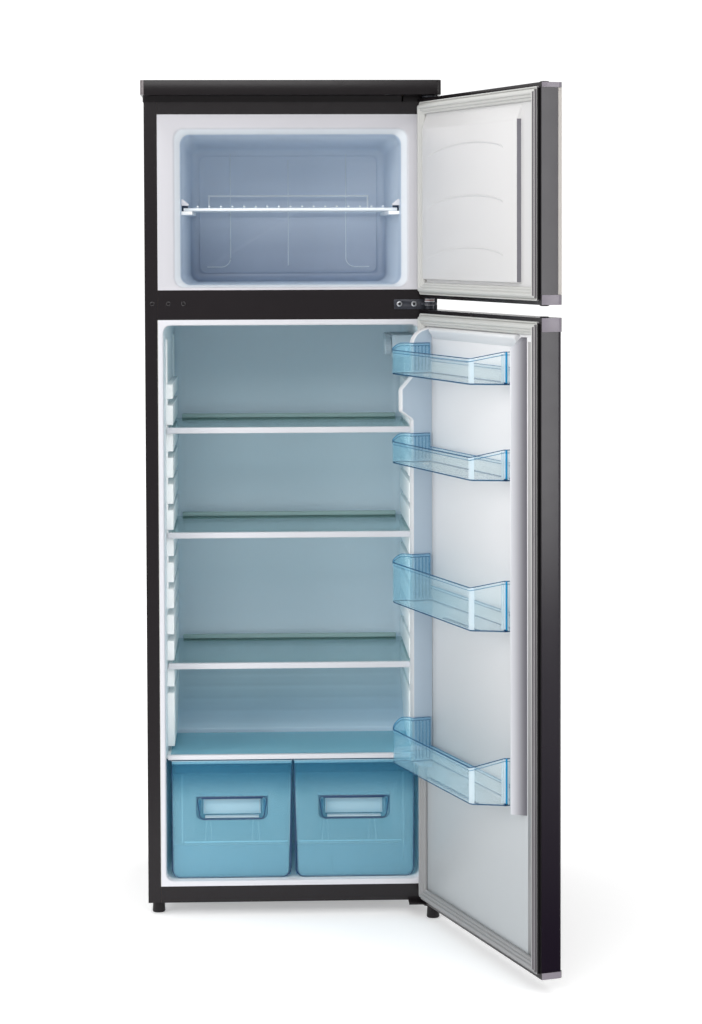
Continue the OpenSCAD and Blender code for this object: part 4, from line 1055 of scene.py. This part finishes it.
def add_front_line(bm, lo, hi):
    """Dark edge that the thick clear wall shows round the front: down the sides and along the bottom."""
    outer, inner = (0.8, 5.8) if lo.x < -hi.x else (5.8, 0.8)
    r = 16
    left, right, low = lo.x + outer / 2.4 + 1.5, hi.x - inner / 2.4 - 1.5, lo.z + 1.6
    y = lo.y + 1.5
    path = [(lo.x + 1.6, y, hi.z - 8)]
    for x, start in ((left + r, 180), (right - r, 270)):
        for k in range(9):
            a = math.radians(start + 11.25 * k)
            path.append((x + r * math.cos(a), y, low + r + r * math.sin(a)))
    path.append((hi.x - 1.6, y, hi.z - 8))
    add_tube(bm, path, 1.5, 8, LINE)


def add_grip(bm, cx, y):
    """Frame of the grip pocket: dark upper edge, slanting sides, painted highlights on the lower lip and
    inside, recessed panel.
    """
    half, low, high = 73, 196, 242
    lower = half - 7
    corners = ((cx - half, high, 9), (cx - lower, low, 12), (cx + lower, low, 12), (cx + half, high, 9))
    outline = [(p.x, y + 1.1, p.y) for p in rounded_path(corners, 6)]
    add_tube(bm, outline, 1.1, 8, LINE, True)
    add_block(bm, (cx - lower + 10, y + 3.0, low + 1.6), (cx + lower - 10, y + 21, low + 4.6), 1.4, 3, PAINTED_HIGHLIGHT)
    for reach, y0, y1, z0, z1, edge, index in (
            (half - 9, 0.6, 2.6, high - 4.4, high - 0.6, 0.9, LINE),
            (lower - 6, 22.0, 23.6, low + 6, high - 8, 0.9, PANEL),
            (lower - 9, 20.6, 22.2, high - 11, high - 9, 0.6, PAINTED_HIGHLIGHT)):
        add_block(bm, (cx - reach, y + y0, z0), (cx + reach, y + y1, z1), edge, 2, index)
    for side in (-1, 1):
        for x, reach, y0, y1, z0, z1, index in (
                (cx + side * (lower - 9), 0.9, 20.6, 22.2, low + 8, high - 9, PAINTED_HIGHLIGHT),
                (cx + side * (half - 6), 2.6, 1.0, 2.4, low + 14, high - 6, BAND)):
            add_block(bm, (x - reach, y + y0, z0), (x + reach, y + y1, z1), 0.6, 2, index)


# ---------- small parts ----------

def make_hinge_details():
    """Washers and the brown ring round the middle pin, between the two doors."""
    hinge = joint("freezer_door_hinge")["pos_m"]
    lo, hi = box_mm("hinge_middle")
    x, y = hinge[0] / MM, hinge[1] / MM
    z = (lo.z + hi.z) / 2 + 2.2
    bm = bmesh.new()
    for z0, z1, r, index in ((z + 2.2, z + 4.4, 10.5, 0), (z + 4.4, z + 6.6, 9.2, 1),
                             (z + 6.8, z + 8.4, 10, 0), (z - 5.0, z - 3.2, 10, 0)):
        add_lathe(bm, (x, y), ((r - 0.5, z0), (r, z0 + 0.4), (r, z1 - 0.4), (r - 0.5, z1)), 28, index)
    piece(bm, "middle_pin_washers", "hinge_middle", [M["white_plastic"], COPPER_BROWN],
          stands_for=False)


def make_flange_line():
    """Bright edges where the flanges of both side panels meet the liner."""
    lo, hi = box_mm("fridge_liner")
    bm = bmesh.new()
    for side in (-1, 1):
        x = side * (hi.x + 0.05)
        add_block(bm, (x - 0.7, -0.25, lo.z), (x + 0.7, 0.9, hi.z), 0.3)
    piece(bm, "liner_edge_strips", "fridge_liner", [M["grey_gasket"]], stands_for=False)


FINISH = {
    "shelf_supports": RIB_PAINTED_SHADE, "thermostat_housing": THERMOSTAT, "thermostat_knob": THERMOSTAT,
    "lamp_cover": THERMOSTAT, "crisper_cover_glass": COVER_GLASS,
    "hinge_middle": HINGE_GREY, "hinge_top": HINGE_GREY,
}
# width of the rounded edges, for the nodes that have any
EDGE_WIDTHS = (
    (0.3, "thermostat_knob"), (0.4, "freezer_door_inserts fridge_door_inserts"),
    (0.6, "hinge_top shelf_glass_1 shelf_glass_2 shelf_glass_3 crisper_cover_glass foot_left foot_right"),
    (0.8, "hinge_bottom rear_feet drip_tray power_inlet condenser_brackets light_switch"),
    (0.9, "freezer_door_caps fridge_door_caps"), (1.0, "hinge_middle"), (1.3, "bar_plugs"),
    (1.6, "lamp_cover"), (2.0, "crisper_cover_trim"), (2.2, "shelf_supports"),
    (2.4, "shelf_trim_1 shelf_trim_2 shelf_trim_3"), (2.6, "worktop"), (3, "thermostat_housing"),
)
EDGE_WIDTH = {node: width for width, nodes in EDGE_WIDTHS for node in nodes.split()}


def make_plain_pieces():
    """Every other part keeps its CAD shape, with its curves shaded smooth and, for the parts listed in
    EDGE_WIDTHS, its edges rounded.
    """
    for node, obj in NODES.items():
        obj.data.materials.clear()
        material = FINISH.get(node, M[SLOT_OF[node]])
        obj.data.materials.append(material)
        if not obj.hide_render:
            bm = refined(node, EDGE_WIDTH.get(node, 0), 3)
            if node == "fridge_door_foam":
                slant_core(bm)
            piece(bm, node + "_finish", node, [material] + mark_faces(bm, node), sharp=30)


def crest_height(y):
    """Height of the slanted upper end of the free-side dike at a distance from the door's axis."""
    seal_top = box_mm("fridge_door_gasket", FRIDGE_DOOR)[1].z
    face = box_mm("fridge_door_liner", FRIDGE_DOOR)[0].y + 1.5
    return seal_top - 25.6 - 4 - 24 * (y - face + 1) / (38 - face + 1)


def slant_core(bm):
    """Lowers the upper end of the foam in the free-side dike, to lie under the slanted liner."""
    face = box_mm("fridge_door_liner", FRIDGE_DOOR)[0].y
    back = FRIDGE_DOOR.inverted()
    for v in bm.verts:
        p = back @ (v.co * MM) / MM
        limit = crest_height(p.y) - 3
        if p.x < -485 and p.y > face - 1 and limit < p.z < limit + 40:
            v.co.z -= p.z - limit


def mark_where(bm, index, chosen):
    for face in bm.faces:
        if chosen(face):
            face.material_index = index


def mark_faces(bm, node):
    """Marks the faces of a part that have their own finish, and gives that finish: free edges of the doors
    with a painted fading of the reflection, painted highlights on the freezer door's rounded corner, the
    caps' free ends, the worktop's left end and the rim of the middle hinge, rear stops of the shelves, plug
    rims."""
    bm.normal_update()
    matrix = FRIDGE_DOOR if node.startswith("fridge_door") else FREEZER_DOOR
    turned = matrix.to_3x3().inverted()
    lo, hi = box_mm(node)
    if node.endswith("_door_skin"):
        # Free-edge faces of the door skins: a painted fading of the reflection towards the floor.
        mark_where(bm, 1, lambda face: (turned @ face.normal).x < -0.8)
        # Rounded corner of the freezer door's sheet: a painted highlight.
        if node.startswith("freezer"):
            mark_where(bm, 2, lambda face: (turned @ face.normal).x < -0.25
                       and (turned @ face.normal).y < -0.2)
        return [EDGE_FADING_REFLECTION, SHEET_EDGE_HIGHLIGHT]
    if node.endswith("_door_caps"):
        # Free ends of the caps: a painted highlight.
        mark_where(bm, 1, lambda face: (turned @ face.normal).x < -0.8)
        return [CAP_END_HIGHLIGHT]
    if node.startswith("shelf_trim"):
        mark_where(bm, 1, lambda face: face.calc_center_median().y > lo.y + 60)
        return [STOP_GREEN]
    if node == "bar_plugs":
        mark_where(bm, 1, lambda face: abs(face.normal.y) < 0.95)
        return [PLUG_GREY]
    if node == "worktop":
        # Left front corner of the worktop: a painted highlight.
        mark_where(bm, 1, lambda face: face.normal.x < -0.15 and face.normal.y < -0.15
                   and face.calc_center_median().z > lo.z + 14)
        return [WORKTOP_HIGHLIGHT]
    if node == "hinge_middle":
        # Rounded rim of the plate: a painted highlight.
        mark_where(bm, 1, lambda face: max(abs(v) for v in face.normal) < 0.95
                   and face.normal.y < -0.2 and face.calc_center_median().y > hi.y - 4)
        return [HINGE_RIM_HIGHLIGHT]
    return []


def make_screw_sockets():
    """Dark six-sided sockets in the two screw heads of the middle hinge, as flat prisms of painted shade."""
    lo, hi = box_mm("hinge_middle")
    heads = [v.co / MM for v in NODES["hinge_screws"].data.vertices]
    heads = [p for p in heads if lo.z < p.z < hi.z]
    front = min(p.y for p in heads)
    left, right = min(p.x for p in heads), max(p.x for p in heads)
    middle = sum(p.z for p in heads) / len(heads)
    radius = (max(p.z for p in heads) - min(p.z for p in heads)) / 2
    reach = radius * 0.62
    turn = [math.radians(60 * k) for k in range(6)]
    bm = bmesh.new()
    for x in (left + radius, right - radius):
        hexagon = [(x + reach * math.cos(t), middle + reach * math.sin(t)) for t in turn]
        add_prism(bm, hexagon, "y", front - 0.1, front + 0.7)
    piece(bm, "middle_screw_sockets", "hinge_screws", [SOCKET_SHADE], stands_for=False)


def make_recess_cover():
    """Dark cover in the notch over the freezer door's hinge end, in front of the hinge plate."""
    lo, hi = box_mm("hinge_top")
    bm = bmesh.new()
    add_block(bm, (lo.x - 1, 0.4, lo.z + 0.2), (lo.x + 38, 1.6, hi.z + 9), 0.4)
    piece(bm, "worktop_notch_cover", "worktop", [M["black_plastic"]], stands_for=False)


def make_shelf_bumps():
    """Bumps on the wire shelf's front bar, and the tabs and slots at its ends in the liner's walls, the
    slots as dark blocks of painted shadow.
    """
    front = box_mm("freezer_shelf")[0].y
    top = bar_top()
    bm = bmesh.new()
    for k in range(17):
        x = 24 * (k - 8)
        add_block(bm, (x - 2.2, front + 0.5, top), (x + 2.2, front + 5, top + 3.0), 1.2, 3)
    piece(bm, "freezer_shelf_bumps", "freezer_shelf", [M["white_wire"]], stands_for=False)
    tabs, slots = bmesh.new(), bmesh.new()
    for side in (-1, 1):
        outline = [(225.6, 3.4), (210, 3.4), (210, 6.4), (222, 16.4), (225.6, 16.4)]
        add_prism(tabs, [(side * x, top + up) for x, up in outline], "y", 42, 74, 1.2, 3)
        near, far = sorted((side * 212, side * 225.4))
        # Dark blocks of painted shadow for the slots in the walls.
        add_block(slots, (near, 65, top - 9), (far, 68, top + 4), 0.6)
    piece(tabs, "freezer_shelf_tabs", "freezer_liner", [M["white_plastic"]], stands_for=False)
    piece(slots, "freezer_shelf_slot_shadows", "freezer_liner", [SLOT_SHADOW], stands_for=False)


def bar_top():
    """Height of the wire shelf's plane, which lies on the ledges at its sides."""
    return box_mm("freezer_shelf")[1].z - 33 + 2.5


# ---------- stage, light and camera ----------

def make_floor():
    bm = bmesh.new()
    reach = 30000
    corners = [(-reach, -reach, -0.5), (reach, -reach, -0.5), (reach, reach, -0.5), (-reach, reach, -0.5)]
    bm.faces.new([bm.verts.new(c) for c in corners])
    material, tree = new_material("studio_floor")
    near = along(tree, "Y", -1.6, -0.7)
    tint = mixed_colour(tree, near, (0.35, 0.35, 0.35, 1), (0.94, 0.94, 0.94, 1))
    shader = opaque(tree, tint, 0.8, specular=0.1, depth=0)
    glow = ranged(tree, along(tree, "Y", -0.8, 5), 0.24, 0.5)
    wire(tree, shader, {"Emission Color": (1, 1, 1, 1), "Emission Strength": glow})
    finish_mesh(bm, "studio_floor", [material])


def softbox(name, centre, target, width, height, radiance):
    data = bpy.data.lights.new(name, "AREA")
    data.shape = "RECTANGLE"
    data.size = width
    data.size_y = height
    data.energy = radiance * math.pi * width * height
    light = bpy.data.objects.new(name, data)
    light.location = centre
    light.rotation_mode = "QUATERNION"
    light.rotation_quaternion = (Vector(target) - Vector(centre)).to_track_quat("-Z", "Y")
    bpy.context.scene.collection.objects.link(light)


def make_world():
    """White surround behind the object, dimmer towards the camera's side."""
    world = bpy.data.worlds.new("studio")
    bpy.context.scene.world = world
    world.use_nodes = True
    tree = world.node_tree
    tree.nodes.clear()
    where = tree.nodes.new("ShaderNodeTexCoord").outputs["Generated"]
    span = wire(tree, smooth_step(tree, where, "Y", -0.35, 0.3), {"To Min": 0.44, "To Max": 1.15})
    back = add_node(tree, "ShaderNodeBackground", {
        "Color": (1, 1, 1, 1), "Strength": span.outputs["Result"]})
    add_node(tree, "ShaderNodeOutputWorld", {"Surface": back.outputs["Background"]})


def make_lights():
    softbox("key", (-3.4, -3.0, 2.2), (0, 0, 0.9), 2.2, 2.8, 4.2)
    softbox("fill", (-0.6, -4.9, 3.05), (0, 0, 0.9), 2.6, 1.3, 5.5)
    softbox("right_panel", (2.4, -2.7, 1.55), (0.4, -0.4, 1.2), 0.8, 2.3, 5.6)
    softbox("left_strip", (-3.2, 0.2, 1.87), (0, 0, 1.7), 0.4, 0.5, 8.0)
    softbox("overhead", (0, -1.6, 3.4), (0, 0, 0.4), 2.4, 1.6, 1.5)


def make_camera():
    data = bpy.data.cameras.new("camera")
    data.lens = 89.8
    data.sensor_width = 36
    data.shift_y = -0.169
    camera = bpy.data.objects.new("camera", data)
    camera.location = (-0.074, -5.239, 1.4048)
    turn = Matrix.Rotation(math.radians(-2.146), 4, "Z") @ Matrix.Rotation(math.radians(87.683), 4, "X")
    turn = turn @ Matrix.Rotation(math.radians(-0.177), 4, "Z")
    camera.rotation_mode = "QUATERNION"
    camera.rotation_quaternion = turn.to_quaternion()
    bpy.context.scene.collection.objects.link(camera)
    bpy.context.scene.camera = camera


make_freezer_liner()
make_freezer_back_lines()
make_fridge_liner()
make_wall_bands()
make_gasket("freezer_door_gasket", FREEZER_DOOR)
make_gasket("fridge_door_gasket", FRIDGE_DOOR)
make_freezer_door_liner()
make_fridge_door_liner()
for number, front_drop in ((1, 13), (2, 15), (3, 14), (4, 20)):
    make_bin(number, front_drop)
for node in ("drawer_left", "drawer_right"):
    make_drawer(node)
make_hinge_details()
make_flange_line()
make_plain_pieces()
make_screw_sockets()
make_recess_cover()
make_shelf_bumps()
make_floor()
make_world()
make_lights()
make_camera()
bpy.context.scene.view_settings.view_transform = "Standard"
